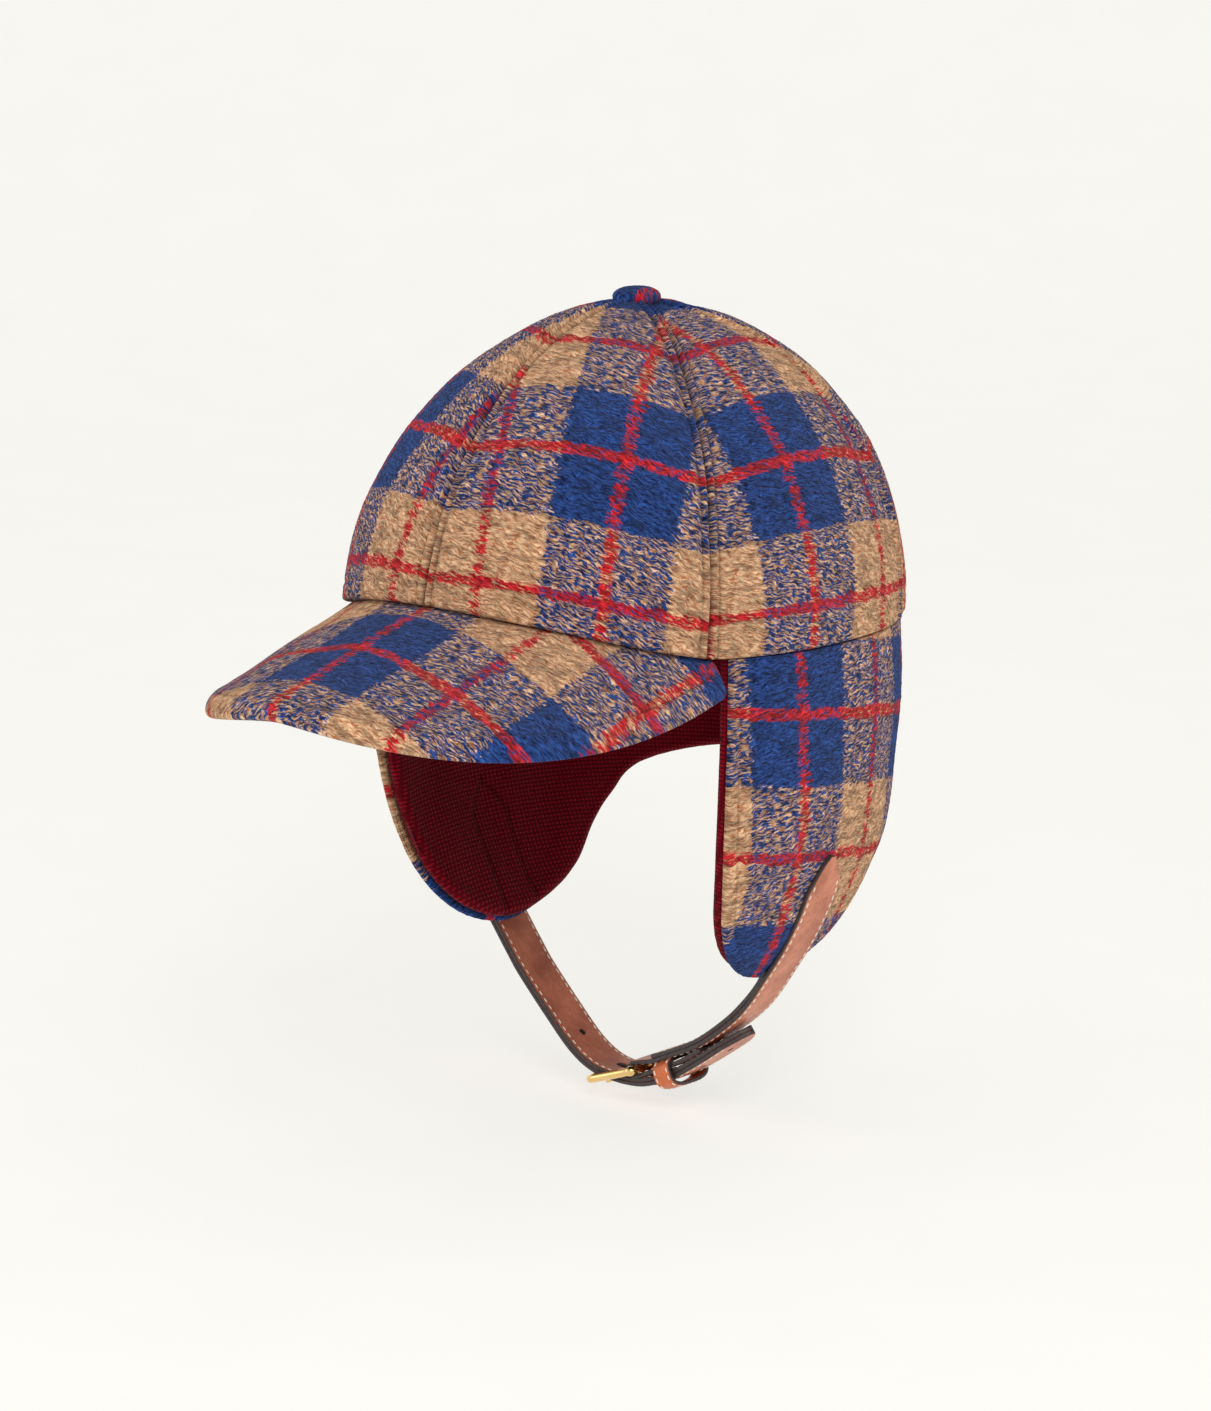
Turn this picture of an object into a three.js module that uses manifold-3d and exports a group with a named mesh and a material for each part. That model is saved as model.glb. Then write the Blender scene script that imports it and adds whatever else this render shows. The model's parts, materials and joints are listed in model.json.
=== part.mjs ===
// Winter cap with ear flaps: six wool gores, a curved visor, a folding ear and
// neck flap band and a buckled leather chin strap.
// Millimetres, +Z up. The cap faces -Y and the wearer's left is +X.
// The origin is the centre of the head opening, level with the crown's hem.

import * as THREE from 'three';
import { mergeVertices } from 'three/addons/utils/BufferGeometryUtils.js';
import Module from 'manifold-3d';

const wasm = await Module();
wasm.setup();

// Driving dimensions
const GAP = 0.3;                  // running gap between touching pieces
const SEAT = 0.5;                 // extra room where the visor and the buckle's rails sit
const CROWN_HALF_WIDTH = 90;      // side to side, over the wool
const CROWN_HALF_LENGTH = 103;    // front to back, over the wool
const CROWN_HEIGHT = 103;
const CROWN_TAPER = 1.08;         // above 1 the dome is more pointed
const CROWN_LEAN = 0.06;          // how far the top leans back for each mm of height
const CROWN_SWELL = 3.2;          // how much further back the crown sits half way up
const HEM_MIDDLE = -3;            // height of the hem at the sides
const HEM_DIP = 2;                // it falls this much towards the back
const HEM_ARCH = 15;              // it arches up this much over the visor
const WOOL = 3.0;
const LINING = 1.2;
const GORES = 6;
const APEX_HOLE = 3.0;            // hole at the top, under the button

const SWEATBAND_WIDTH = 30;
const SWEATBAND = 1.4;
const SWEATBAND_JOIN = 0.5;       // half the gap where its ends meet at the back

const BUTTON_RADIUS = 8.0;
const BUTTON_HEIGHT = 4.4;
const BUTTON_COVER = 1.3;

const VISOR_END = 62;             // degrees from the front to the visor's ends
const VISOR_REACH = 71;
const VISOR_HALF_WIDTH = 84;
const VISOR_SLOPE = 0.27;         // at the middle
const VISOR_CURL = 0.43;          // how much steeper it is at the ends
const VISOR_COVER = 1.8;
const VISOR_EDGE_POWER = 0.92;    // below 1 the edge is squarer than an ellipse
const VISOR_BOARD = 2.2;
const BOARD_GAP = 0.9;

const FLAP_TUCK = 1.2;            // how far the flaps sit inside the crown's hem
const FLAP_FRONT = 65;            // degrees from the front to the flaps' front edge
const FLAP_REAR = 128;            // degrees from the front to the rear end of the fold
const EAR_REAR = 125;             // degrees from the front to the ear lobes' rear end
const FLAP_DROP = 123;
const FLAP_LEAN = 29.5;           // how far the ear lobes lean in at their lowest point
const FLAP_KNIT = 2.0;
const FLAP_WADDING = 2.0;
const WADDING_GAP = 0.8;
const FOLD_TOP = 9;               // depth of the fold line at its front end
const FOLD_SLOPE = 0.78;

const STRAP_Y = 8.4;              // middle of the strap's width
const STRAP_HALF_WIDTH = 8.5;
const LEATHER = 1.4;
const PATCH_LENGTH = 45.5;
const PATCH_POINT = 13;
const FREE_END_POINT = 10;
const BLUNT_TIP = 0.8;            // the strap's pointed ends are cut off this much early

const WIRE = 1.2;                 // radius of the buckle's bars
const RAIL = 1.35;                // radius of the buckle's side rails
const BUCKLE_LENGTH = 19.5;       // between the centres of the two bars
const BUCKLE_TILT = 19;           // degrees
const HEEL = new THREE.Vector2(4.5, -165.4);
const KEEPER_WIDTH = 8;
const KEEPER_LEATHER = 1.2;
const KEEPER_INSIDE = [-1.95, 3.75];   // its lower and upper inner faces, from its centre
const KEEPER_CENTRE = new THREE.Vector2(20, -164.1);
const KEEPER_RUN = new THREE.Vector2(0.92, 0.39);   // direction of the straps inside it

const COLOURS = {
  wool: 0x2c4a8a,
  tanWool: 0xc79a66,
  knit: 0x5b0a1d,
  liningCloth: 0x2b2a33,
  wadding: 0xe8e2d4,
  board: 0xd9d2c0,
  leather: 0xc98d70,
  innerLeather: 0xd7a58c,
  keeper: 0xb8673a,
  gold: 0xd7aa5a,
  steel: 0xa8aaad,
};

const hat = new THREE.Group();

function radians(degrees) {
  return THREE.MathUtils.degToRad(degrees);
}

function cloth(colour, roughness = 0.95) {
  return new THREE.MeshStandardMaterial({ color: colour, roughness, metalness: 0 });
}

function metal(colour) {
  return new THREE.MeshStandardMaterial({ color: colour, roughness: 0.25, metalness: 1 });
}

function addPiece(name, geometry, material) {
  const mesh = new THREE.Mesh(geometry, material);
  mesh.name = name;
  hat.add(mesh);
  return mesh;
}

// Geometry helpers

function onlyPositions(geometry) {
  const bare = geometry.clone();
  bare.deleteAttribute('normal');
  bare.deleteAttribute('uv');
  return mergeVertices(bare, 1e-4);
}

function reverseFaces(geometry) {
  const index = geometry.index;
  for (let i = 0; i < index.count; i += 3) {
    const second = index.getX(i + 1);
    index.setX(i + 1, index.getX(i + 2));
    index.setX(i + 2, second);
  }
  return geometry;
}

function signedVolume(geometry) {
  const corners = [new THREE.Vector3(), new THREE.Vector3(), new THREE.Vector3()];
  let volume = 0;
  for (let i = 0; i < geometry.index.count; i += 3) {
    corners.forEach((corner, j) => {
      corner.fromBufferAttribute(geometry.attributes.position, geometry.index.getX(i + j));
    });
    volume += corners[0].dot(corners[1].clone().cross(corners[2])) / 6;
  }
  return volume;
}

// A box of cells bent to a shape: place(u, v, w) gives each point, with u, v and w from 0 to 1.
function bentBox(cells, place) {
  const bent = onlyPositions(new THREE.BoxGeometry(1, 1, 1, ...cells));
  const position = bent.attributes.position;
  for (let i = 0; i < position.count; i += 1) {
    const point = place(position.getX(i) + 0.5, position.getY(i) + 0.5, position.getZ(i) + 0.5);
    position.setXYZ(i, point.x, point.y, point.z);
  }
  return signedVolume(bent) < 0 ? reverseFaces(bent) : bent;
}

function mirrored(geometry) {
  return reverseFaces(geometry.clone().scale(-1, 1, 1));
}

function solid(geometry) {
  const bare = onlyPositions(geometry);
  return new wasm.Manifold(new wasm.Mesh({
    numProp: 3,
    vertProperties: new Float32Array(bare.attributes.position.array),
    triVerts: new Uint32Array(bare.index.array),
  }));
}

function toGeometry(body) {
  const mesh = body.getMesh();
  const geometry = new THREE.BufferGeometry();
  geometry.setAttribute('position', new THREE.BufferAttribute(mesh.vertProperties, 3));
  geometry.setIndex(new THREE.BufferAttribute(mesh.triVerts, 1));
  return geometry;
}

function cut(geometry, ...tools) {
  return toGeometry(tools.reduce((body, tool) => body.subtract(solid(tool)), solid(geometry)));
}

function joined(...geometries) {
  const [first, ...rest] = geometries.map(solid);
  return toGeometry(rest.reduce((body, next) => body.add(next), first));
}

function block(size, centre) {
  return new THREE.BoxGeometry(...size).translate(...centre);
}

// A round rod between two points.
function rod(radius, from, to, sides = 10) {
  const along = new THREE.Vector3().subVectors(to, from);
  const geometry = new THREE.CylinderGeometry(radius, radius, along.length(), sides);
  const turn = new THREE.Quaternion().setFromUnitVectors(
    new THREE.Vector3(0, 1, 0), along.clone().normalize());
  const middle = new THREE.Vector3().addVectors(from, to).multiplyScalar(0.5);
  return geometry.applyQuaternion(turn).translate(middle.x, middle.y, middle.z);
}

// Crown

function hemHeight(theta) {
  const side = Math.abs(Math.atan2(Math.sin(theta), Math.cos(theta)));
  const arch = Math.cos(Math.min(side / radians(VISOR_END), 1) * Math.PI / 2) ** 1.2;
  return HEM_MIDDLE + HEM_DIP * Math.cos(side) + HEM_ARCH * arch;
}

// A point on the dome: theta is measured from the front towards the wearer's left,
// rise goes from 0 at the hem to 1 at the top, and inset is the depth below the wool's face.
function crownPoint(theta, rise, inset) {
  const lift = rise * Math.PI / 2;
  const spread = Math.cos(lift) ** CROWN_TAPER;
  const height = (CROWN_HEIGHT - inset) * Math.sin(lift);
  const back = CROWN_LEAN * height + CROWN_SWELL * Math.sin(2 * lift);
  return new THREE.Vector3(
    (CROWN_HALF_WIDTH - inset) * spread * Math.sin(theta),
    back - (CROWN_HALF_LENGTH - inset) * spread * Math.cos(theta),
    height + hemHeight(theta) * (1 - rise),
  );
}

function goreGeometry(index, outer, inner, lowestRise, cells) {
  const topRise = 1 - (APEX_HOLE / CROWN_HALF_LENGTH) ** (1 / CROWN_TAPER) * 2 / Math.PI;
  return bentBox(cells, (u, v, w) => {
    const rise = THREE.MathUtils.lerp(lowestRise, topRise, v);
    const radius = CROWN_HALF_WIDTH * Math.cos(rise * Math.PI / 2) ** CROWN_TAPER;
    const seam = GAP * 0.6 / radius;
    const from = radians(index * 360 / GORES) + seam;
    const to = radians((index + 1) * 360 / GORES) - seam;
    const inset = THREE.MathUtils.lerp(outer, inner, w);
    return crownPoint(THREE.MathUtils.lerp(from, to, u), rise, inset);
  });
}

const PANEL_NAMES = [
  'front_left', 'side_left', 'back_left', 'back_right', 'side_right', 'front_right',
];

function addCrown() {
  PANEL_NAMES.forEach((name, index) => {
    const wool = goreGeometry(index, 0, WOOL, 0, [5, 8, 1]);
    addPiece(`crown_${name}`, wool, cloth(index % 2 ? COLOURS.tanWool : COLOURS.wool));
    const liningInset = WOOL + GAP;
    const lining = goreGeometry(index, liningInset, liningInset + LINING, 0.01, [5, 8, 1]);
    addPiece(`lining_${name}`, lining, cloth(COLOURS.liningCloth, 0.8));
  });
}

// The sweatband is one strip that meets itself at the centre back.
function addSweatband() {
  const inset = WOOL + LINING + 4 * GAP;
  const topRise = Math.asin(SWEATBAND_WIDTH / CROWN_HEIGHT) * 2 / Math.PI;
  const halfJoin = SWEATBAND_JOIN / CROWN_HALF_WIDTH;
  const band = bentBox([30, 2, 1], (u, v, w) => {
    const theta = THREE.MathUtils.lerp(-Math.PI + halfJoin, Math.PI - halfJoin, u);
    return crownPoint(theta, THREE.MathUtils.lerp(0.01, topRise, v), inset + SWEATBAND * w);
  });
  addPiece('sweatband', band, cloth(COLOURS.knit, 0.9));
}

// Button

function turned(profile, segments = 20) {
  const points = profile.map(([radius, height]) => new THREE.Vector2(radius, height));
  const lathe = new THREE.LatheGeometry(points, segments);
  const upright = onlyPositions(lathe).rotateX(Math.PI / 2);
  return signedVolume(upright) < 0 ? reverseFaces(upright) : upright;
}

function addButton() {
  const base = CROWN_HEIGHT + GAP;
  const innerRadius = BUTTON_RADIUS - BUTTON_COVER;
  const innerHeight = BUTTON_HEIGHT - BUTTON_COVER;
  const dome = (radius, height, floor) => [0, 1, 2, 3, 4].map((step) => {
    const turn = step * Math.PI / 8;
    return [radius * Math.cos(turn), floor + (height - floor) * Math.sin(turn)];
  });
  const outside = dome(BUTTON_RADIUS, BUTTON_HEIGHT, 1);
  const inside = dome(innerRadius, innerHeight, 1).reverse();
  inside[0][0] = 0;
  outside[4][0] = 0;
  const cover = turned([...inside, [innerRadius, 0], [BUTTON_RADIUS, 0], ...outside]);
  const shellRadius = innerRadius - GAP;
  const shellDome = dome(shellRadius, innerHeight - GAP, 1);
  shellDome[4][0] = 0;
  const shell = turned([[0, 0.1], [shellRadius, 0.1], ...shellDome]);
  const washerTop = -WOOL - LINING - 6 * GAP;
  const rivet = turned([
    [0, washerTop - 1], [6, washerTop - 1], [6, washerTop], [1.4, washerTop],
    [1.4, -GAP], [0, -GAP],
  ], 12);
  const place = [0, CROWN_LEAN * CROWN_HEIGHT, base];
  addPiece('button_cover', cover.translate(...place), cloth(COLOURS.wool));
  addPiece('button_shell', shell.translate(...place), metal(COLOURS.steel));
  addPiece('button_rivet', rivet.translate(...place), metal(COLOURS.steel));
}

// Visor

// u runs from the wearer's right end to the left one, v from the crown to the edge.
function visorPoint(u, v, depth, margin) {
  const side = 2 * u - 1;
  const theta = radians(VISOR_END) * side;
  const tuck = WOOL + SEAT;
  const root = new THREE.Vector2(
    (CROWN_HALF_WIDTH - tuck) * Math.sin(theta), -(CROWN_HALF_LENGTH - tuck) * Math.cos(theta));
  const endY = -CROWN_HALF_LENGTH * Math.cos(radians(VISOR_END)) - 1;
  const reach = CROWN_HALF_LENGTH + VISOR_REACH + endY - margin;
  const sweep = side * Math.PI / 2;
  const edge = new THREE.Vector2(
    (VISOR_HALF_WIDTH - margin) * Math.sign(side) * Math.abs(Math.sin(sweep)) ** VISOR_EDGE_POWER,
    endY - reach * Math.abs(Math.cos(sweep)) ** VISOR_EDGE_POWER,
  );
  const slope = VISOR_SLOPE + VISOR_CURL * Math.abs(side) ** 1.3;
  const plan = root.clone().lerp(edge, v);
  const height = hemHeight(theta) - 2 * GAP - slope * plan.distanceTo(root);
  return new THREE.Vector3(plan.x, plan.y, height - depth);
}

function visorLayer(top, thickness, margin, cells) {
  return bentBox(cells, (u, v, w) => visorPoint(u, v, top + thickness * w, margin));
}

function addVisor() {
  const boardTop = VISOR_COVER + BOARD_GAP;
  const underTop = boardTop + VISOR_BOARD + BOARD_GAP;
  const cells = [18, 5, 1];
  addPiece('visor_top_cover', visorLayer(0, VISOR_COVER, 0, cells), cloth(COLOURS.wool));
  addPiece('visor_board', visorLayer(boardTop, VISOR_BOARD, 1, cells), cloth(COLOURS.board));
  addPiece('visor_under_cover', visorLayer(underTop, VISOR_COVER, 0, cells), cloth(COLOURS.wool));
}

// Ear and neck flaps

// Depth of the band's lower edge below the origin, against degrees from the front.
const FLAP_OUTLINE = new THREE.SplineCurve([
  [65, 18], [65.5, 50], [67.5, 76], [72, 100], [80, 116], [91, FLAP_DROP], [103, 120],
  [114, 111], [122, 97], [128, 87.5], [137, 76], [157, 69], [180, 68],
].map(([x, y]) => new THREE.Vector2(x, y))).getPoints(240);

function bandDepth(degrees) {
  const next = FLAP_OUTLINE.findIndex((point) => point.x >= degrees);
  if (next < 1) return FLAP_OUTLINE[Math.max(next, 0)].y;
  const a = FLAP_OUTLINE[next - 1];
  const b = FLAP_OUTLINE[next];
  return THREE.MathUtils.mapLinear(degrees, a.x, b.x, a.y, b.y);
}

function flapLean(depth) {
  return FLAP_LEAN * (Math.max(depth, 0) / FLAP_DROP) ** 3;
}

// A point on the band: depth is measured down from the origin's level, and inset
// inwards from the wool's face.
function flapPoint(theta, depth, inset) {
  return new THREE.Vector3(
    (CROWN_HALF_WIDTH - FLAP_TUCK - flapLean(depth) - inset) * Math.sin(theta),
    -(CROWN_HALF_LENGTH - FLAP_TUCK - inset) * Math.cos(theta),
    -depth,
  );
}

// The fold is straight: its depth depends only on how far back the point is.
function foldDepth(theta, inset) {
  const back = -(CROWN_HALF_LENGTH - FLAP_TUCK - inset) * Math.cos(theta);
  const front = -(CROWN_HALF_LENGTH - FLAP_TUCK) * Math.cos(radians(FLAP_FRONT));
  return FOLD_TOP + FOLD_SLOPE * (back - front);
}

function neckDepth(degrees, inset) {
  const side = degrees > 180 ? 360 - degrees : degrees;
  const fold = foldDepth(radians(side), inset) - GAP;
  return side >= FLAP_REAR ? bandDepth(side) : Math.min(fold, bandDepth(side));
}

function neckLayer(outer, thickness, margin, cells) {
  return bentBox(cells, (u, v, w) => {
    const degrees = THREE.MathUtils.lerp(FLAP_FRONT + margin, 360 - FLAP_FRONT - margin, u);
    const theta = radians(degrees);
    const inset = outer + thickness * w;
    const top = 2 * GAP - hemHeight(theta);
    const bottom = neckDepth(degrees, inset) - margin * 0.6;
    return flapPoint(theta, THREE.MathUtils.lerp(top, bottom, v), inset);
  });
}

function earLayer(outer, thickness, margin, cells) {
  return bentBox(cells, (u, v, w) => {
    const degrees = THREE.MathUtils.lerp(
      FLAP_FRONT + margin, EAR_REAR - margin, u ** 1.4);
    const theta = radians(degrees);
    const inset = outer + thickness * w;
    const top = foldDepth(theta, inset) + GAP;
    const bottom = bandDepth(degrees) - margin;
    return flapPoint(theta, THREE.MathUtils.lerp(top, bottom, v), inset);
  });
}

function addFlaps() {
  const layers = [
    ['wool', 0, WOOL, 0, COLOURS.wool],
    ['wadding', WOOL + WADDING_GAP, FLAP_WADDING, 1.5, COLOURS.wadding],
    ['knit', WOOL + FLAP_WADDING + 2 * WADDING_GAP, FLAP_KNIT, 0, COLOURS.knit],
  ];
  layers.forEach(([name, outer, thickness, margin, colour]) => {
    const ear = earLayer(outer, thickness, margin, [14, 5, 1]);
    const neck = neckLayer(outer, thickness, margin, [30, 3, 1]);
    addPiece(`neck_flap_${name}`, neck, cloth(colour));
    addPiece(`left_flap_${name}`, ear, cloth(colour));
    addPiece(`right_flap_${name}`, mirrored(ear), cloth(colour));
  });
}

// Chin strap

// The pointed end of the strap that is sewn flat on the outside of an ear flap.
function patchGeometry() {
  return bentBox([4, 8, 1], (u, v, w) => {
    const up = v * PATCH_LENGTH;
    const taper = Math.min(1, (PATCH_LENGTH - up + BLUNT_TIP) / PATCH_POINT);
    const y = STRAP_Y + (2 * u - 1) * STRAP_HALF_WIDTH * taper;
    const outward = GAP + LEATHER * w;
    const theta = Math.acos(-y / (CROWN_HALF_LENGTH - FLAP_TUCK + outward));
    return flapPoint(theta, FLAP_DROP - up, -outward);
  });
}

function smoothPath(points) {
  return new THREE.SplineCurve(points.map(([x, z]) => new THREE.Vector2(x, z)));
}

// A leather layer whose middle follows a path in the XZ plane, shifted sideways by offset.
function leatherStrip(path, steps, offset, halfWidth, start = 0) {
  return bentBox([2, steps, 1], (u, v, w) => {
    const reach = THREE.MathUtils.lerp(start, 1, v);
    const centre = path.getPointAt(reach);
    const tangent = path.getTangentAt(reach);
    const side = offset + LEATHER * (w - 0.5);
    const width = halfWidth(reach * path.getLength());
    return new THREE.Vector3(
      centre.x - tangent.y * side, STRAP_Y + (2 * u - 1) * width, centre.y + tangent.x * side);
  });
}

const frameAlong = new THREE.Vector2(
  Math.cos(radians(BUCKLE_TILT)), Math.sin(radians(BUCKLE_TILT)));
const frameUp = new THREE.Vector2(-frameAlong.y, frameAlong.x);

// A point in the buckle's own plane, measured from the heel bar.
function atBuckle(along, up) {
  return HEEL.clone().addScaledVector(frameAlong, along).addScaledVector(frameUp, up);
}

function atWidth(point, y) {
  return new THREE.Vector3(point.x, STRAP_Y + y, point.y);
}

// The left strap's outer leather runs down from the flap, round the heel bar and back
// along itself, where it is sewn.
function leftStrapOuter() {
  const wrap = WIRE + GAP + LEATHER / 2;
  const path = new THREE.CurvePath();
  path.add(smoothPath([
    [60.2, -126.8], [46, -141.5], [33, -151], [20, -157.3], atBuckle(0, wrap).toArray(),
  ]));
  const turnPoints = [0, 1, 2, 3, 4, 5, 6].map((step) => {
    const turn = step * Math.PI / 6;
    return atBuckle(-wrap * Math.sin(turn), wrap * Math.cos(turn)).toArray();
  });
  path.add(smoothPath(turnPoints));
  path.add(smoothPath([
    atBuckle(0, -wrap).toArray(), [12, -164.3], [20, -161], [27, -157.2], [33, -153],
  ]));
  const strip = leatherStrip(path, 44, 0, () => STRAP_HALF_WIDTH);
  return cut(strip, block([13.5, 3.6, 10], [HEEL.x, STRAP_Y, HEEL.y]));
}

function leftStrapInner() {
  const path = smoothPath([[55.4, -132.1], [46, -141.5], [33, -151], [20, -157.3], [12, -160.3]]);
  return leatherStrip(path, 14, -(LEATHER + GAP), () => STRAP_HALF_WIDTH);
}

const RIGHT_STRAP_PATH = smoothPath([
  [-60.4, -126.4], [-48, -140], [-36, -152.5], [-25, -163.2], [-15.4, -168.4], [-5, -170.2],
  [5, -170.1], [12, -167.6], [20, -164.1], [34, -155.4], [49, -145],
]);

function rightStrapLayer(side) {
  const length = RIGHT_STRAP_PATH.getLength();
  const halfWidth = (along) => {
    return STRAP_HALF_WIDTH * Math.min(1, (length - along + BLUNT_TIP) / FREE_END_POINT);
  };
  const start = side > 0 ? 0.04 : 0;
  const strip = leatherStrip(
    RIGHT_STRAP_PATH, 40, side * (LEATHER + GAP) / 2, halfWidth, start);
  const prongSlot = block([15.5, 3.4, 12], [HEEL.x - 7, STRAP_Y, -170]);
  const holes = [-27, 28, 40].map((x) => {
    const middle = new THREE.Vector3(x, STRAP_Y, x < 0 ? -161.5 : -159.3 + (x - 28) * 0.62);
    const lean = x < 0 ? new THREE.Vector3(4, 0, 4.2) : new THREE.Vector3(-2.6, 0, 5);
    return rod(1.3, middle.clone().sub(lean), middle.clone().add(lean), 8);
  });
  return cut(strip, prongSlot, ...holes);
}

// A leather loop round the folded end of the left strap and the tip of the right one.
function keeperGeometry() {
  const innerHalfWidth = STRAP_HALF_WIDTH + GAP;
  const across = new THREE.Vector3(0, 1, 0);
  const thick = new THREE.Vector3(-KEEPER_RUN.y, 0, KEEPER_RUN.x);
  const along = new THREE.Vector3(KEEPER_RUN.x, 0, KEEPER_RUN.y);
  const [low, high] = KEEPER_INSIDE;
  const shape = new THREE.Shape();
  const reach = innerHalfWidth + KEEPER_LEATHER;
  shape.moveTo(-reach, low - KEEPER_LEATHER);
  shape.lineTo(reach, low - KEEPER_LEATHER);
  shape.lineTo(reach, high + KEEPER_LEATHER);
  shape.lineTo(-reach, high + KEEPER_LEATHER);
  const hole = new THREE.Path();
  hole.moveTo(-innerHalfWidth, low);
  hole.lineTo(-innerHalfWidth, high);
  hole.lineTo(innerHalfWidth, high);
  hole.lineTo(innerHalfWidth, low);
  shape.holes.push(hole);
  return new THREE.ExtrudeGeometry(shape, { depth: KEEPER_WIDTH, bevelEnabled: false })
    .translate(0, 0, -KEEPER_WIDTH / 2)
    .applyMatrix4(new THREE.Matrix4().makeBasis(across, thick, along))
    .translate(KEEPER_CENTRE.x, STRAP_Y, KEEPER_CENTRE.y);
}

function buckleFrame() {
  const railY = STRAP_HALF_WIDTH + SEAT + RAIL;
  const corners = [[0, -railY], [0, railY], [-BUCKLE_LENGTH, railY], [-BUCKLE_LENGTH, -railY]]
    .map(([along, y]) => atWidth(atBuckle(along, 0), y));
  const balls = corners.map((corner) => {
    return new THREE.SphereGeometry(RAIL, 10, 6).translate(corner.x, corner.y, corner.z);
  });
  return joined(
    rod(WIRE, corners[0], corners[1]), rod(RAIL, corners[1], corners[2]),
    rod(WIRE, corners[2], corners[3]), rod(RAIL, corners[3], corners[0]), ...balls);
}

function buckleProng() {
  const barHole = rod(WIRE + 0.15, atWidth(HEEL, -3), atWidth(HEEL, 3), 12);
  const ring = cut(rod(WIRE + 1.15, atWidth(HEEL, -1.4), atWidth(HEEL, 1.4), 12), barHole);
  const clearance = WIRE + 0.9 + GAP;
  const shaft = rod(0.9, atWidth(atBuckle(-1.7, -0.6), 0),
    atWidth(atBuckle(-BUCKLE_LENGTH - 2, -clearance - 0.2), 0), 8);
  return cut(joined(ring, shaft), barHole);
}

function addStrap() {
  const patch = patchGeometry();
  addPiece('left_strap_patch', patch, cloth(COLOURS.leather, 0.5));
  addPiece('right_strap_patch', mirrored(patch), cloth(COLOURS.leather, 0.5));
  addPiece('left_strap_outer', leftStrapOuter(), cloth(COLOURS.leather, 0.5));
  addPiece('left_strap_inner', leftStrapInner(), cloth(COLOURS.innerLeather, 0.6));
  addPiece('right_strap_outer', rightStrapLayer(-1), cloth(COLOURS.leather, 0.5));
  addPiece('right_strap_inner', rightStrapLayer(1), cloth(COLOURS.innerLeather, 0.6));
  addPiece('strap_keeper', keeperGeometry(), cloth(COLOURS.keeper, 0.5));
  addPiece('buckle_frame', buckleFrame(), metal(COLOURS.gold));
  addPiece('buckle_prong', buckleProng(), metal(COLOURS.gold));
}

addCrown();
addSweatband();
addButton();
addVisor();
addFlaps();
addStrap();

export default hat;
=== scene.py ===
import json
import math

import bmesh
import bpy
import numpy as np
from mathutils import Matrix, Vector


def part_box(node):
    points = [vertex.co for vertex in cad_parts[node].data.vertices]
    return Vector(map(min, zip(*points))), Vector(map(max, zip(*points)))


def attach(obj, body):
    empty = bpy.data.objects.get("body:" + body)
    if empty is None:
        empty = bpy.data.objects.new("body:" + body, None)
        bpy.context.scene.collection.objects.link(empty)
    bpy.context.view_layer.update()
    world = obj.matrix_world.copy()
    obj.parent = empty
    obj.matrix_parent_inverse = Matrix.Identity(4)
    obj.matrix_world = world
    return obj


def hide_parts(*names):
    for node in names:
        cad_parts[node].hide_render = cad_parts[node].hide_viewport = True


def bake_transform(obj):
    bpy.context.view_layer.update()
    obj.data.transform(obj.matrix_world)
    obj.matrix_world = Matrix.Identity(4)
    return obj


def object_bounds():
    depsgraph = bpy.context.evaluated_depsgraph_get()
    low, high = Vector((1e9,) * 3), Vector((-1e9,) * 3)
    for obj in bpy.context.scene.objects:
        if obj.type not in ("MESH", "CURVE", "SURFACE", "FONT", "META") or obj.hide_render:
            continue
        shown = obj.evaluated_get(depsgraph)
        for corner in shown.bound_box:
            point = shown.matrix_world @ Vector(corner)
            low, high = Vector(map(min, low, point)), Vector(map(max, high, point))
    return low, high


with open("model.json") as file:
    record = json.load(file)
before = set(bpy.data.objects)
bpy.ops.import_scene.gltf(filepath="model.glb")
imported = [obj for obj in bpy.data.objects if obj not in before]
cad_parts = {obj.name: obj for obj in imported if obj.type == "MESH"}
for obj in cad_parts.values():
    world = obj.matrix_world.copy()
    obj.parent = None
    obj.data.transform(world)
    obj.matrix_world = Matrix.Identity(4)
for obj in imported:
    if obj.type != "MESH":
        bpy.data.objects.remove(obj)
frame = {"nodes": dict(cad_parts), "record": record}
cad_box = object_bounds()

# ---------------------------------------------------------------- sizes, in millimetres, from the frame
MM = 0.001
PANELS = ("front_left", "side_left", "back_left", "back_right", "side_right", "front_right")
FULL_TURN = 2 * math.pi
GORE_ANGLE = FULL_TURN / len(PANELS)


def box_mm(node):
    """Lowest and highest corner of a CAD node, in millimetres."""
    low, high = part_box(node)
    return np.array(low) / MM, np.array(high) / MM


def joint_mm(name):
    """The point that a joint of the record turns about, in millimetres."""
    joint = next(j for j in frame["record"]["behaviour"]["joints"] if j["name"] == name)
    return np.array(joint["pos_m"]) / MM


CROWN_HALF_WIDTH = 90.0
CROWN_HALF_LENGTH = 103.0
CROWN_HEIGHT = box_mm("button_cover")[0][2] - 0.3
CROWN_TAPER = 1.08
CROWN_LEAN = 0.06
CROWN_SWELL = 3.2
HEM_MIDDLE = -3.0
HEM_DIP = 2.0
HEM_ARCH = 15.0
WOOL = 2.8
LINING = 1.2
LINING_INSET = 3.4
SWEATBAND_INSET = 5.6
SWEATBAND_RISE = 0.19
SEAM_GAP = 0.015
SEAM_STITCH_AT = 3.0
HEM_STITCH_AT = 6.5

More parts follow.
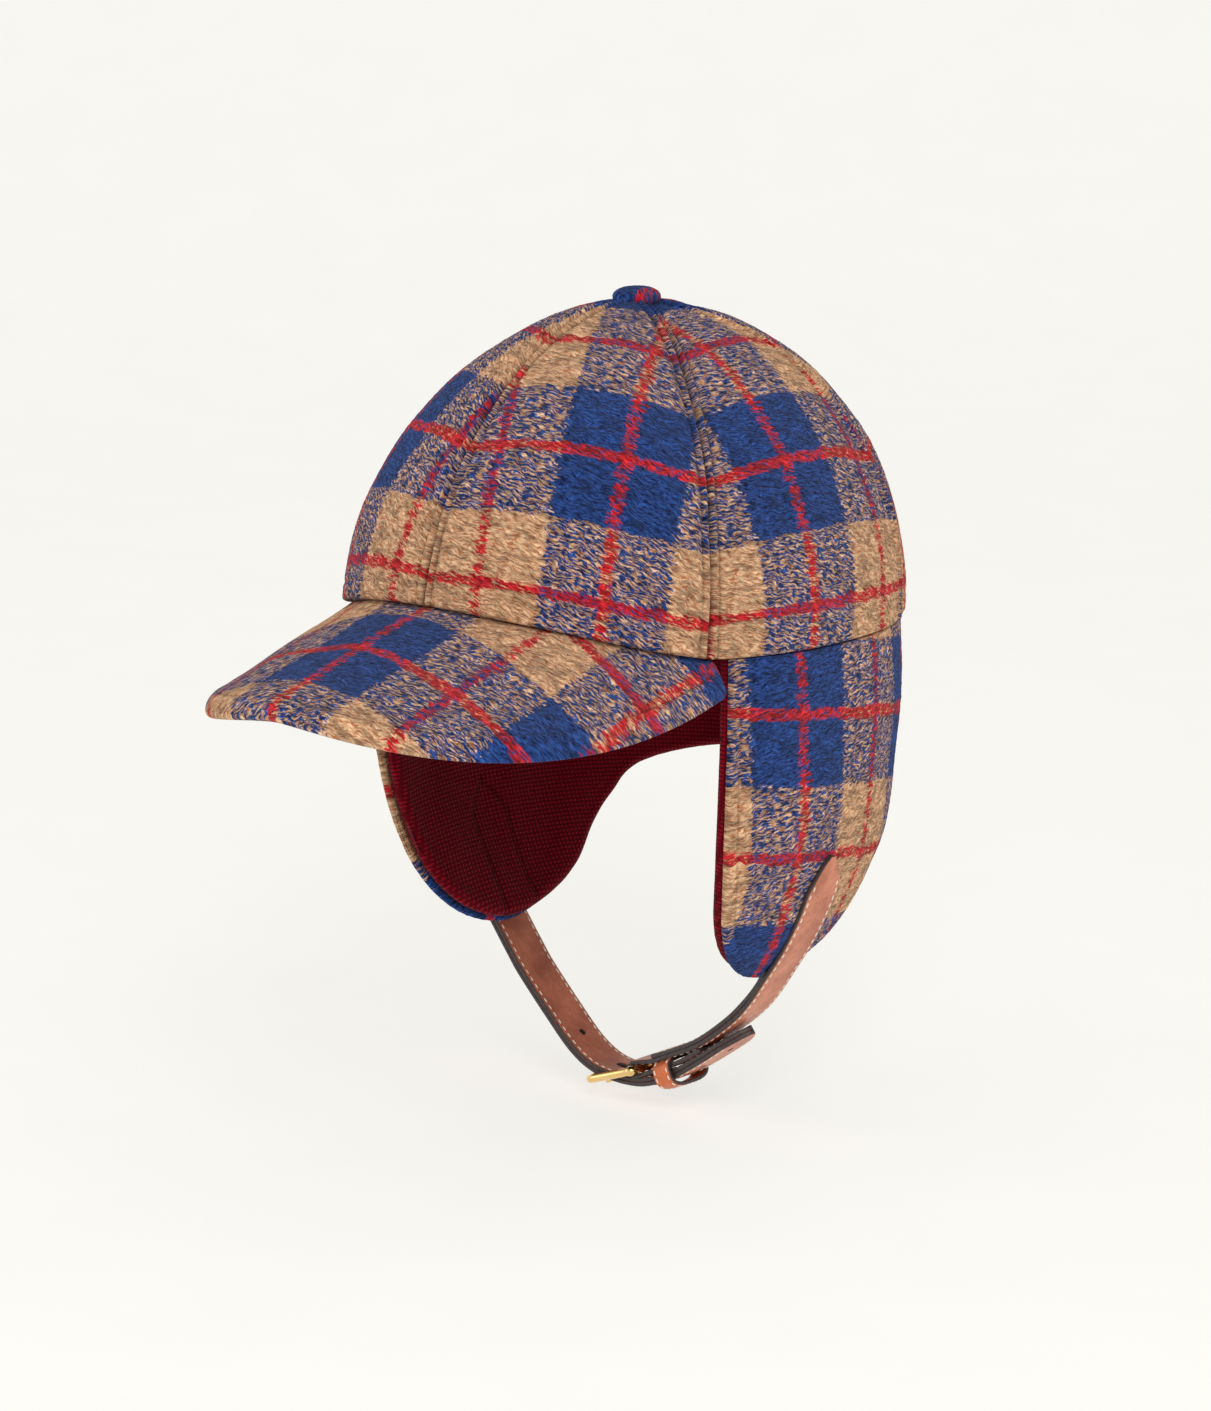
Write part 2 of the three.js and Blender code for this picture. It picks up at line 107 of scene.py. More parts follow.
VISOR_END = math.radians(62)
VISOR_END_WRAP = math.radians(0.7)
VISOR_FRONT = -box_mm("visor_top_cover")[0][1]
VISOR_HALF_WIDTH = 84.0
VISOR_SLOPE = 0.27
VISOR_CURL = 0.43
VISOR_DEPTH = 7.6
VISOR_COVER = 1.8
VISOR_ROOT_INSET = 3.5
VISOR_EDGE_POWER = 0.92
VISOR_STITCH_AT = (4.5, 16.0, 28.0)

FLAP_TUCK = 1.2
FLAP_DROP = -box_mm("left_flap_wool")[0][2]
FLAP_LEAN = 29.5
FLAP_FRONT = 65
FLAP_OUTLINE = (
    (65, 18), (65.5, 50), (67.5, 76), (72, 100), (80, 116), (91, 123), (103, 120),
    (114, 111), (122, 97), (128, 87.5), (137, 76), (157, 69), (180, 68),
)
MM_PER_DEGREE = 1.65
WADDING_DEPTH = 4.7
WADDING_MARGIN = 6.5

STRAP_Y = joint_mm("buckle_tilt")[1]
STRAP_HALF_WIDTH = 8.5
STRAP_LAYER = 1.55
LINING_LAYER = 1.5
STITCH = 3.1
STITCH_INSET = 1.5
BUCKLE_TILT = math.radians(19)
WIRE = 1.4

WARP_STRIPE = 42.0
WEFT_STRIPE = 49.5


# ---------------------------------------------------------------- meshes
def add_object(name, data):
    thing = bpy.data.objects.new(name, data)
    bpy.context.scene.collection.objects.link(thing)
    return thing


def add_mesh(name, points, faces, materials, face_materials=None, thread=None):
    """A mesh object from points in millimetres, with an optional thread coordinate per point."""
    mesh = bpy.data.meshes.new(name)
    mesh.from_pydata((np.asarray(points) * MM).tolist(), [], faces)
    if thread is not None:
        layer = mesh.attributes.new("thread", "FLOAT_VECTOR", "POINT")
        layer.data.foreach_set("vector", np.asarray(thread, dtype=np.float32).ravel())
    for material in materials:
        mesh.materials.append(material)
    if face_materials is not None:
        mesh.polygons.foreach_set("material_index", face_materials)
    shape = bmesh.new()
    shape.from_mesh(mesh)
    bmesh.ops.recalc_face_normals(shape, faces=shape.faces)
    shape.to_mesh(mesh)
    shape.free()
    mesh.shade_smooth()
    return add_object(name, mesh)


def grid_faces(rows, columns, start=0, around=False):
    """Quads of a grid of points; around joins the last column to the first."""
    index = np.arange(rows * columns).reshape(rows, columns) + start
    if around:
        index = np.concatenate([index, index[:, :1]], axis=1)
    corners = (index[:-1, :-1], index[:-1, 1:], index[1:, 1:], index[1:, :-1])
    return np.stack(corners, axis=-1).reshape(-1, 4).tolist()


def rim_faces(rows, columns):
    """Quads that join the borders of two grids laid one after the other."""
    index = np.arange(rows * columns).reshape(rows, columns)
    border = np.concatenate([index[0, :-1], index[:-1, -1], index[-1, :0:-1], index[:0:-1, 0]])
    after = np.roll(border, -1)
    back = rows * columns
    return np.stack([border, after, after + back, border + back], axis=-1).tolist()


def slab(name, outer, inner, material, thread):
    """A closed sheet between two grids of points."""
    rows, columns = outer.shape[:2]
    points = np.concatenate([outer.reshape(-1, 3), inner.reshape(-1, 3)])
    faces = grid_faces(rows, columns) + grid_faces(rows, columns, rows * columns) + rim_faces(rows, columns)
    threads = np.concatenate([thread.reshape(-1, 3), thread.reshape(-1, 3)])
    return add_mesh(name, points, faces, [material], None, threads)


def ring_angles(count):
    """Angles of points spaced evenly round a ring."""
    return np.linspace(0, FULL_TURN, count + 1)[:-1]


def unit(vectors):
    return vectors / np.maximum(np.linalg.norm(vectors, axis=-1, keepdims=True), 1e-9)


def outward_normals(grid):
    """Unit normals of a grid of points, facing away from the head."""
    normal = unit(np.cross(np.gradient(grid, axis=1), np.gradient(grid, axis=0)))
    outward = grid - np.array([0.0, 0.0, -20.0])
    flip = np.sign(np.sum(normal * outward))
    return normal * flip


def arc_lengths(grid, axis=0):
    """Distance along a path, or along a grid's rows or columns, from the first point."""
    steps = np.linalg.norm(np.diff(grid, axis=axis), axis=-1)
    zero = np.zeros_like(np.take(steps, [0], axis=axis))
    return np.concatenate([zero, np.cumsum(steps, axis=axis)], axis=axis)


def smooth_step(value, low, high):
    share = np.clip((value - low) / (high - low), 0, 1)
    return share * share * (3 - 2 * share)


def bump_at(distance, place, width):
    """A smooth ridge of height 1 at a place."""
    return np.exp(-(((distance - place) / width) ** 2))


def rolled(distance, radius):
    """Share of a sheet's half thickness left at a distance from its rounded edge."""
    share = np.clip(distance / radius, 0, 1)
    return np.sqrt(np.clip(1 - (1 - share) ** 2, 0, 1))


def soft_waves(grid, size, seed):
    """Slow unevenness of hand-sewn cloth, in millimetres."""
    random = np.random.default_rng(seed)
    total = np.zeros(grid.shape[:2])
    for _ in range(7):
        direction = unit(random.normal(size=3)) * FULL_TURN / random.uniform(28, 62)
        total += np.sin(grid @ direction + random.uniform(0, FULL_TURN))
    return total * size / 2.6


def nap(shape, size, seed):
    """Fine unevenness of brushed wool, in millimetres."""
    return np.random.default_rng(seed).normal(size=shape) * size


def plaid_thread(u, v, warp_at, weft_at, shaded_groove):
    """Thread coordinates with a blue warp stripe at warp_at and a blue weft stripe at weft_at; the third
    coordinate is painted groove shade.
    """
    return np.stack([u - warp_at, v - weft_at, shaded_groove], axis=-1)


# ---------------------------------------------------------------- materials
def colour(red, green, blue):
    """A screen colour as the linear values that a shader takes."""
    parts = [c / 255 for c in (red, green, blue)]
    return (*[p / 12.92 if p <= 0.04045 else ((p + 0.055) / 1.055) ** 2.4 for p in parts], 1.0)


class Graph:
    """A node material, with a short call for each kind of node that the materials here use."""

    def __init__(self, name, **settings):
        self.material = bpy.data.materials.new(name)
        self.material.use_nodes = True
        self.tree = self.material.node_tree
        self.shader = self.tree.nodes["Principled BSDF"]
        for socket, value in settings.items():
            self.shader.inputs[socket.replace("_", " ")].default_value = value

    def put(self, socket, value):
        if isinstance(value, bpy.types.NodeSocket):
            self.tree.links.new(value, socket)
        else:
            socket.default_value = value

    def node(self, kind, inputs, output=0, **settings):
        """Adds a node, fills its inputs with values or links, and gives one of its outputs."""
        node = self.tree.nodes.new(f"ShaderNode{kind}")
        for setting, value in settings.items():
            setattr(node, setting, value)
        for socket, value in inputs.items():
            self.put(node.inputs[socket], value)
        return node.outputs[output]

    def attribute(self, name):
        return self.node("Attribute", {}, "Vector", attribute_name=name)

    def position(self):
        """Place on the piece at rest, in millimetres."""
        place = self.node("TexCoord", {}, "Object")
        return self.node("VectorMath", {0: place, "Scale": 1 / MM}, operation="SCALE")

    def vector(self, operation, a, b):
        return self.node("VectorMath", {0: a, 1: b}, operation=operation)

    def split(self, vector):
        return self.node("SeparateXYZ", {0: vector}).node.outputs

    def join(self, x, y, z):
        return self.node("CombineXYZ", {0: x, 1: y, 2: z})

    def math(self, operation, a, b=0.0, c=0.0):
        return self.node("Math", {0: a, 1: b, 2: c}, operation=operation)

    def wave(self, value, pitch):
        return self.math("SINE", self.math("MULTIPLY", value, FULL_TURN / pitch))

    def noise(self, vector, scale, detail=2.0, roughness=0.5):
        inputs = {"Vector": vector, "Scale": scale, "Detail": detail, "Roughness": roughness}
        return self.node("TexNoise", inputs, "Fac")

    def cells(self, vector, scale):
        return self.node("TexVoronoi", {"Vector": vector, "Scale": scale}, "Distance")

    def ramp(self, value, low, high, start=0.0, end=1.0):
        inputs = dict(enumerate((value, low, high, start, end)))
        return self.node("MapRange", inputs, interpolation_type="SMOOTHSTEP")

    def mix(self, factor, a, b, blend="MIX"):
        return self.node("Mix", {"Factor": factor, 6: a, 7: b}, 2, data_type="RGBA", blend_type=blend)

    def shade(self, tone, factor):
        """A colour made darker or lighter by a factor."""
        grey = self.join(factor, factor, factor)
        return self.mix(1.0, tone, grey, "MULTIPLY")

    def bump(self, height, distance, strength=1.0):
        inputs = {"Strength": strength, "Distance": distance * MM, "Height": height}
        self.put(self.shader.inputs["Normal"], self.node("Bump", inputs))

    def finish(self, base_colour, roughness=None):
        self.put(self.shader.inputs["Base Color"], base_colour)
        if roughness is not None:
            self.put(self.shader.inputs["Roughness"], roughness)
        return self.material


def stripe_masks(graph, place, spacing):
    """For one thread direction: where it is blue, and where it is red."""
    bands = graph.math("WRAP", place, 1.5 * spacing, -0.5 * spacing)
    blue = graph.ramp(bands, 0.5 * spacing - 0.4, 0.5 * spacing + 0.4, 1.0, 0.0)
    stripe = graph.math("ABSOLUTE", graph.math("WRAP", place, 0.5 * spacing, -0.5 * spacing))
    red = graph.ramp(stripe, 1.6, 2.3, 1.0, 0.0)
    return blue, red


def wool_material():
    """Brushed twill in blue and tan checks with red lines, marled where the two colours cross, with painted
    highlights and shade on its fibre strands and painted shade in its grooves.
    """
    g = Graph(
        "plaid_wool", Roughness=0.94, Specular_IOR_Level=0.12, Sheen_Weight=0.08, Sheen_Roughness=0.4
    )
    u, v, shaded_groove = g.split(g.attribute("thread"))
    flat = g.join(u, v, 0.0)
    wave = g.math("MULTIPLY_ADD", g.noise(flat, 0.17, 2.0), 4.4, -2.2)
    slant = g.join(
        g.math("MULTIPLY", g.math("MULTIPLY_ADD", v, -0.3, u), 0.24),
        g.math("ADD", g.math("MULTIPLY_ADD", u, 0.3, v), wave),
        0.0,
    )
    strands = g.noise(slant, 0.85, 2.0, 0.6)
    wander = g.math("MULTIPLY_ADD", strands, 9.0, -4.5)
    other_strands = g.noise(g.vector("ADD", slant, (71.0, 13.0, 5.0)), 0.7, 2.0, 0.6)
    drift = g.math("MULTIPLY_ADD", other_strands, 5.0, -2.5)
    warp_blue, warp_red = stripe_masks(g, g.math("ADD", u, wander), WARP_STRIPE)
    weft_blue, weft_red = stripe_masks(g, g.math("ADD", v, drift), WEFT_STRIPE)

    twill = g.noise(slant, 1.3, 3.0, 0.65)
    beads = g.ramp(g.noise(g.join(0.0, v, 0.0), 0.3, 1.0), 0.4, 0.6, 0.04, -0.1)
    edge = g.math("MULTIPLY_ADD", weft_red, 0.07, 0.5)
    edge = g.math("MULTIPLY_ADD", warp_red, beads, edge)
    edge = g.math("MULTIPLY_ADD", g.math("SUBTRACT", weft_blue, warp_blue), 0.02, edge)
    on_top = g.ramp(g.math("SUBTRACT", twill, edge), -0.05, 0.05)

    # Painted highlights and shade along the fibre strands: each colour runs from a shaded strand colour to a
    # lit one.
    fibre_light_and_shade = g.ramp(g.noise(slant, 1.5, 3.0, 0.75), 0.34, 0.66)
    tone = g.noise(flat, 0.16, 2.0)
    blue = g.mix(fibre_light_and_shade, colour(3, 15, 62), colour(50, 92, 174))
    tan = g.mix(fibre_light_and_shade, colour(180, 104, 66), colour(255, 216, 172))
    red = g.mix(fibre_light_and_shade, colour(140, 2, 20), colour(250, 50, 58))
    warp = g.mix(warp_red, g.mix(warp_blue, tan, blue), red)
    weft = g.mix(weft_red, g.mix(weft_blue, tan, blue), red)
    cloth = g.mix(on_top, weft, warp)
    cloth = g.shade(cloth, g.ramp(tone, 0.3, 0.7, 0.9, 1.08))
    # Painted shade in the crevices between fibre strands, and painted highlights on the strands.
    cloth = g.shade(cloth, g.ramp(other_strands, 0.36, 0.56, 0.6, 1.12))
    # Painted shade in grooves, seams, stitch lines and at tucked edges, from the third thread coordinate.
    cloth = g.shade(cloth, g.ramp(shaded_groove, 0.0, 1.0, 1.0, 0.5))
    pile = g.math("MULTIPLY_ADD", g.noise(slant, 1.9, 4.0, 0.75), 1.1, twill)
    g.bump(pile, 1.1, 1.0)
    return g.finish(cloth)


def knit_material():
    """Burgundy waffle knit: rows of small raised cells, with painted shade in the pits between them and in
    its grooves.
    """
    g = Graph(
        "burgundy_knit", Roughness=0.9, Specular_IOR_Level=0.08, Sheen_Weight=0.06, Sheen_Roughness=0.4
    )
    u, v, shaded_groove = g.split(g.attribute("thread"))
    across = g.wave(u, 1.9)
    along = g.wave(v, 1.5)
    cell = g.math("MULTIPLY", g.math("ADD", across, 1.0), g.math("ADD", along, 1.0))
    relief = g.ramp(cell, 0.2, 2.6)
    flat = g.join(u, v, 0.0)
    yarn = g.mix(g.noise(flat, 1.1, 3.0), colour(102, 0, 16), colour(150, 2, 32))
    # Painted shade in the pits between the cells and painted highlights on their tops.
    yarn = g.shade(yarn, g.ramp(relief, 0.0, 1.0, 0.45, 1.1))
    # Painted shade in grooves, dents and seams, from the third thread coordinate.
    yarn = g.shade(yarn, g.ramp(shaded_groove, 0.0, 1.0, 1.0, 0.4))
    g.bump(relief, 0.55, 0.9)
    return g.finish(yarn)


def cloth_material(name, dark, light, pitch, depth, **settings):
    """A plain woven cloth with two thread directions of one pitch, with painted shade in the weave's
    hollows.
    """
    g = Graph(name, **settings)
    u, v, _ = g.split(g.attribute("thread"))
    weave = g.math("MULTIPLY_ADD", g.math("MULTIPLY", g.wave(u, pitch), g.wave(v, pitch)), 0.5, 0.5)
    flat = g.join(u, v, 0.0)
    thread = g.mix(g.noise(flat, 0.4, 3.0), dark, light)
    # Painted shade in the hollows of the weave and painted highlights on its crossings.
    thread = g.shade(thread, g.ramp(weave, 0.0, 1.0, 0.8, 1.05))
    g.bump(weave, depth, 0.7)
    return g.finish(thread)


def leather_material(name, dark, light, **settings):
    """Smooth calf leather: fine grain cells, slow tone changes and faint rubbed marks."""
    g = Graph(name, Specular_IOR_Level=0.45, Coat_Weight=0.12, Coat_Roughness=0.35, **settings)
    place = g.position()
    grain = g.cells(place, 2.1)
    tone = g.noise(place, 0.09, 4.0, 0.6)
    rub = g.noise(g.vector("MULTIPLY", place, (0.25, 1.0, 1.0)), 0.6, 3.0, 0.65)
    hide = g.mix(g.ramp(tone, 0.3, 0.7), dark, light)
    hide = g.shade(hide, g.ramp(rub, 0.35, 0.75, 0.9, 1.06))
    hide = g.shade(hide, g.ramp(grain, 0.0, 0.5, 1.03, 0.95))
    g.bump(g.math("MULTIPLY_ADD", grain, -0.5, g.math("MULTIPLY", rub, 0.3)), 0.12, 0.6)
    return g.finish(hide, g.ramp(rub, 0.3, 0.8, 0.52, 0.38))


def painted_edge_material():
    """Thick edge paint on cut leather, slightly uneven."""
    g = Graph("edge_paint", Specular_IOR_Level=0.4)
    place = g.position()
    drips = g.noise(place, 0.7, 3.0)
    tone = g.mix(drips, colour(34, 28, 30), colour(74, 64, 64))
    g.bump(drips, 0.15, 0.6)
    return g.finish(tone, g.ramp(drips, 0.3, 0.7, 0.55, 0.4))


def sewing_thread_material():
    """Waxed thread with a twist along its length."""
    g = Graph("sewing_thread", Roughness=0.6, Specular_IOR_Level=0.3, Sheen_Weight=0.2)
    x, y, z = g.split(g.position())
    twist = g.wave(g.math("ADD", g.math("ADD", x, y), z), 0.5)
    strand = g.mix(g.math("MULTIPLY_ADD", twist, 0.5, 0.5), colour(222, 205, 180), colour(255, 248, 232))
    g.bump(twist, 0.06, 0.7)
    return g.finish(strand)


def metal_material(name, dark, light, rough, polish, **settings):
    """Metal with a faint cast unevenness and fine wear marks in its polish."""
    g = Graph(name, Metallic=1.0, **settings)
    place = g.position()
    wear = g.noise(g.vector("MULTIPLY", place, (3.0, 0.6, 3.0)), 0.9, 4.0, 0.6)
    tone = g.mix(g.noise(place, 0.25, 2.0), dark, light)
    g.bump(wear, 0.02, 0.4)
    return g.finish(tone, g.ramp(wear, 0.3, 0.75, polish, rough))


def board_material():
    """Pale moulded plastic with a faint orange-peel surface."""
    g = Graph("visor_board", Roughness=0.5, Specular_IOR_Level=0.4)
    place = g.position()
    peel = g.noise(place, 0.8, 3.0)
    tone = g.mix(g.noise(place, 0.05, 2.0), colour(226, 220, 202), colour(238, 233, 218))
    g.bump(peel, 0.08, 0.5)
    return g.finish(tone)


def floor_material():
    """Plain pale paper, bright enough to read as a seamless backdrop."""
    g = Graph("studio_paper", Roughness=1.0, Specular_IOR_Level=0.0)
    place = g.position()
    tone = g.mix(g.noise(place, 0.02, 2.0), colour(150, 150, 147), colour(156, 156, 153))
    g.shader.inputs["Emission Color"].default_value = colour(253, 252, 248)
    g.shader.inputs["Emission Strength"].default_value = 0.7
    return g.finish(tone)


WOOL_CLOTH = wool_material()
KNIT = knit_material()
LINING_CLOTH = cloth_material(
    "crown_lining", colour(30, 28, 38), colour(52, 48, 60), 1.1, 0.1, Roughness=0.5, Sheen_Weight=0.2
)
TAPE = cloth_material(
    "sweatband", colour(74, 4, 22), colour(104, 14, 36), 1.4, 0.3, Roughness=0.85, Sheen_Weight=0.3
)
BATTING = cloth_material(
    "wadding", colour(222, 216, 202), colour(244, 240, 230), 3.4, 0.6, Roughness=0.98, Sheen_Weight=0.4
)
STRAP_LEATHER = leather_material("strap_leather", colour(176, 96, 66), colour(214, 132, 98))
INNER_LEATHER = leather_material("inner_leather", colour(158, 80, 54), colour(196, 112, 80))
KEEPER_LEATHER = leather_material("keeper_leather", colour(172, 78, 34), colour(214, 110, 58))
EDGE_PAINT = painted_edge_material()
THREAD = sewing_thread_material()
GOLD = metal_material(
    "gold_plate", colour(222, 178, 104), colour(250, 218, 152), 0.2, 0.1, Coat_Weight=0.3
)
STEEL = metal_material("button_metal", colour(150, 152, 156), colour(182, 184, 188), 0.4, 0.25)


# ---------------------------------------------------------------- crown
def hem_height(theta):
    """Height of the crown's lower edge: it arches over the visor and dips slightly at the back."""
    side = np.abs(np.arctan2(np.sin(theta), np.cos(theta)))
    arch = np.cos(np.minimum(side / VISOR_END, 1) * math.pi / 2) ** 1.2
    return HEM_MIDDLE + HEM_DIP * np.cos(side) + HEM_ARCH * arch


def crown_point(theta, rise, inset=0.0):
    """A point of the crown: theta round from the front, rise from hem to apex."""
    lift = rise * math.pi / 2
    spread = np.cos(lift) ** CROWN_TAPER
    height = (CROWN_HEIGHT - inset) * np.sin(lift)
    x = (CROWN_HALF_WIDTH - inset) * spread * np.sin(theta)
    back = CROWN_LEAN * height + CROWN_SWELL * np.sin(2 * lift)
    y = back - (CROWN_HALF_LENGTH - inset) * spread * np.cos(theta)
    return np.stack([x, y, height + hem_height(theta) * (1 - rise)], axis=-1)


def gore_flat(grid):
    """Flat pattern coordinates of a gore: threads stay straight although the gore curves."""
    middle = grid.shape[1] // 2
    across = arc_lengths(grid, 1)
    across = across - across[:, middle:middle + 1]
    rise = arc_lengths(grid)[:, middle:middle + 1]
    radius = np.hypot(grid[:, middle, 0], grid[:, middle, 1] - CROWN_LEAN * grid[:, middle, 2])
    slope = np.maximum(-np.gradient(radius, rise[:, 0]), 1e-3)
    turn = (radius / slope)[:, None]
    return turn * np.sin(across / turn), rise + turn * (1 - np.cos(across / turn))


def seam_distance(grid):
    """Distance from the nearer of a gore's two seams."""
    across = arc_lengths(grid, 1)
    return np.minimum(across, across[:, -1:] - across)


def seam_relief(distance, along):
    """Groove at a seam with a stitched ridge on its side, as an offset from the cloth's surface."""
    stitches = 0.72 + 0.28 * np.cos(FULL_TURN * along / STITCH)
    seam = -1.3 * bump_at(distance, 0, 0.7)
    ridge = 1.15 * bump_at(distance, 1.6, 0.9)
    topstitch = -1.0 * bump_at(distance, SEAM_STITCH_AT, 0.6) * stitches
    return seam + ridge + topstitch + 0.3 * bump_at(distance, 5.2, 1.3)


PLAID_AT = {
    "front_left": (14.5, 61.5), "side_left": (-12.0, 64.0), "back_left": (4.0, 62.0),
    "back_right": (-8.0, 63.0), "side_right": (10.0, 62.5), "front_right": (-8.0, 63.0),
}


def gore_grid(number, columns, rows, inset=0.0, top=0.985):
    """Points of one gore, closer together at its seams and hem, with rows from hem to apex."""
    across = np.linspace(-1, 1, columns)
    across = np.sign(across) * np.abs(across) ** 0.85
    rise = np.linspace(0, 1, rows) ** 1.15 * top
    theta = GORE_ANGLE * (number + 0.5 + 0.5 * across)
    gap = SEAM_GAP / CROWN_HALF_WIDTH
    theta = np.clip(theta, GORE_ANGLE * number + gap, GORE_ANGLE * (number + 1) - gap)
    grid_theta, grid_rise = np.meshgrid(theta, rise)
    return crown_point(grid_theta, grid_rise, inset)


def gore_wool(number, panel):
    """One gore of the crown's plaid wool."""
    grid = gore_grid(number, 111, 151)
    normal = outward_normals(grid)
    seam = seam_distance(grid)
    along = arc_lengths(grid)
    hem_stitch = bump_at(along, HEM_STITCH_AT, 0.6)
    edge = np.minimum(seam, along)
    relief = seam_relief(seam, along) - 0.35 * hem_stitch
    relief += soft_waves(grid, 0.45, number) + nap(grid.shape[:2], 0.07, number)
    fullness = 0.9 * np.clip(seam / 14, 0, 1) ** 0.7
    half = WOOL / 2
    outer = grid + normal * (-half + half * rolled(along, 1.6) + relief + fullness)[..., None]
    inner = grid + normal * (-half - half * rolled(edge, 1.6))[..., None]
    u, v = gore_flat(grid)
    # Painted shade in the seam and topstitch grooves and along the hem stitching, and a painted shadow along
    # the hem's lower edge.
    shaded_groove = bump_at(seam, 0, 0.7) + 0.8 * bump_at(seam, SEAM_STITCH_AT, 0.5)
    shaded_groove = np.clip(shaded_groove + 0.4 * hem_stitch + 0.5 * bump_at(along, 0, 0.8), 0, 1)
    warp_at, weft_at = PLAID_AT[panel]
    thread = plaid_thread(u, v, warp_at, weft_at, shaded_groove)
    piece = slab(f"gore_{panel}", outer, inner, WOOL_CLOTH, thread)
    declare(piece, "plaid_wool", f"crown_{panel}", body="crown")
    declare_sheet(grid)


def gore_lining(number, panel):
    """One gore of the lining, with its seams turned to the wool side."""
    grid = gore_grid(number, 41, 71, LINING_INSET)
    normal = outward_normals(grid)
    seam = seam_distance(grid)
    relief = -0.4 * bump_at(seam, 1.5, 0.8) + soft_waves(grid, 0.2, number + 20)
    outer = grid + normal * (relief - 0.1)[..., None]
    inner = outer - normal * (LINING * 0.7)
    u, v = gore_flat(grid)
    thread = np.stack([u, v, np.zeros_like(u)], axis=-1)
    piece = slab(f"lining_gore_{panel}", outer, inner, LINING_CLOTH, thread)
    declare(piece, "crown_lining", f"lining_{panel}", body="crown")
    declare_sheet(grid)


def sweatband():
    """Ribbed tape round the inside of the head opening, joined at the centre back."""
    theta = np.linspace(-math.pi + 0.004, math.pi - 0.004, 361)
    grid_theta, grid_rise = np.meshgrid(theta, np.linspace(0.0, SWEATBAND_RISE, 23))
    grid = crown_point(grid_theta, grid_rise, SWEATBAND_INSET)
    normal = outward_normals(grid)
    along = arc_lengths(grid)
    height = along[-1:].max()
    edge = np.minimum(along, along[-1:] - along)
    rib = 0.18 * np.sin(FULL_TURN * along / (height / 7))
    stitch = -0.3 * bump_at(edge, 2.2, 0.5)
    outer = grid + normal * (0.1 * rolled(edge, 1.0))[..., None]
    inner = grid - normal * (0.1 + 1.2 * rolled(edge, 1.0) + rib + stitch)[..., None]
    thread = np.stack([arc_lengths(grid, 1), along, np.zeros_like(along)], axis=-1)
    piece = slab("inner_sweatband", outer, inner, TAPE, thread)
    declare(piece, "sweatband", "sweatband", body="crown")
    declare_sheet(grid)


# ---------------------------------------------------------------- button
def button():
    """Wool-covered button: a low dome, its cloth gathered round the rim."""
    low, high = box_mm("button_cover")
    centre = (low + high) / 2
    radius = (high[0] - low[0]) / 2
    height = high[2] - low[2] + 0.6
    turn, rise = np.meshgrid(ring_angles(96), np.linspace(-0.42, 0.985, 34))
    level = np.sin(rise * math.pi / 2)
    wide = np.cos(rise * math.pi / 2) ** 0.72
    gathers = 0.22 * np.sin(11 * turn) * np.clip(-level, 0, 1) + soft_button(turn) * wide
    reach = (radius + gathers) * wide
    x = centre[0] + reach * np.cos(turn)
    y = centre[1] + reach * np.sin(turn)
    z = low[2] + height * (0.3 + 0.7 * level)
    grid = np.stack([x, y, z], axis=-1)
    grid += nap(grid.shape, 0.05, 5)
    flat_u = (x - centre[0]) * 1.2
    flat_v = (y - centre[1]) * 1.2
    # The third thread coordinate paints shade on the cloth tucked under the button's rim.
    thread = np.stack([flat_u - 7.0, flat_v + 18.0, bump_at(level, -0.6, 0.2)], axis=-1)
    rows, columns = grid.shape[:2]
    top = np.array([[centre[0], centre[1], low[2] + height]])
    base = np.array([[centre[0], centre[1], low[2] + 0.2 * height]])
    points = np.concatenate([grid.reshape(-1, 3), top, base])
    threads = np.concatenate([thread.reshape(-1, 3), [[-7.0, 18.0, 0]], [[-7.0, 18.0, 0]]])
    faces = grid_faces(rows, columns, 0, True)
    last = (rows - 1) * columns
    for i in range(columns):
        after = (i + 1) % columns
        faces.append([last + i, last + after, rows * columns])
        faces.append([after, i, rows * columns + 1])
    piece = add_mesh("crown_button", points, faces, [WOOL_CLOTH], None, threads)
    declare(piece, "plaid_wool", "button_cover", body="crown")


def soft_button(turn):
    """Uneven roundness of a hand-covered button."""
    return 0.25 * np.sin(2 * turn + 0.6) + 0.15 * np.sin(3 * turn + 2.0)


# ---------------------------------------------------------------- visor
def visor_plan(u, v):
    """Plan position of a visor point: u from the right end to the left, v from root to edge."""
    side = 2 * u - 1
    theta = (VISOR_END + VISOR_END_WRAP) * side
    root = np.stack([
        (CROWN_HALF_WIDTH - VISOR_ROOT_INSET) * np.sin(theta),
        -(CROWN_HALF_LENGTH - VISOR_ROOT_INSET) * np.cos(theta),
    ], axis=-1)
    end_y = -CROWN_HALF_LENGTH * math.cos(VISOR_END) - 1
    sweep = side * math.pi / 2
    edge = np.stack([
        VISOR_HALF_WIDTH * np.sign(side) * np.abs(np.sin(sweep)) ** VISOR_EDGE_POWER,
        end_y - (VISOR_FRONT + end_y) * np.abs(np.cos(sweep)) ** VISOR_EDGE_POWER,
    ], axis=-1)
    return side, root, root + (edge - root) * v[..., None]


def visor_grid(columns, rows):
    """Points of the visor's top surface, closer together at its edge."""
    across = np.linspace(-1, 1, columns)
    across = 0.5 + 0.5 * np.sign(across) * (1 - (1 - np.abs(across)) ** 1.25)
    out = 1 - (1 - np.linspace(0, 1, rows)) ** 1.5
    u, v = np.meshgrid(across, out)
    side, root, plan = visor_plan(u, v)
    slope = VISOR_SLOPE + VISOR_CURL * np.abs(side) ** 1.3
    drop = slope * np.linalg.norm(plan - root, axis=-1)
    height = hem_height(VISOR_END * side) - 0.6 - drop
    return np.concatenate([plan, height[..., None]], axis=-1)


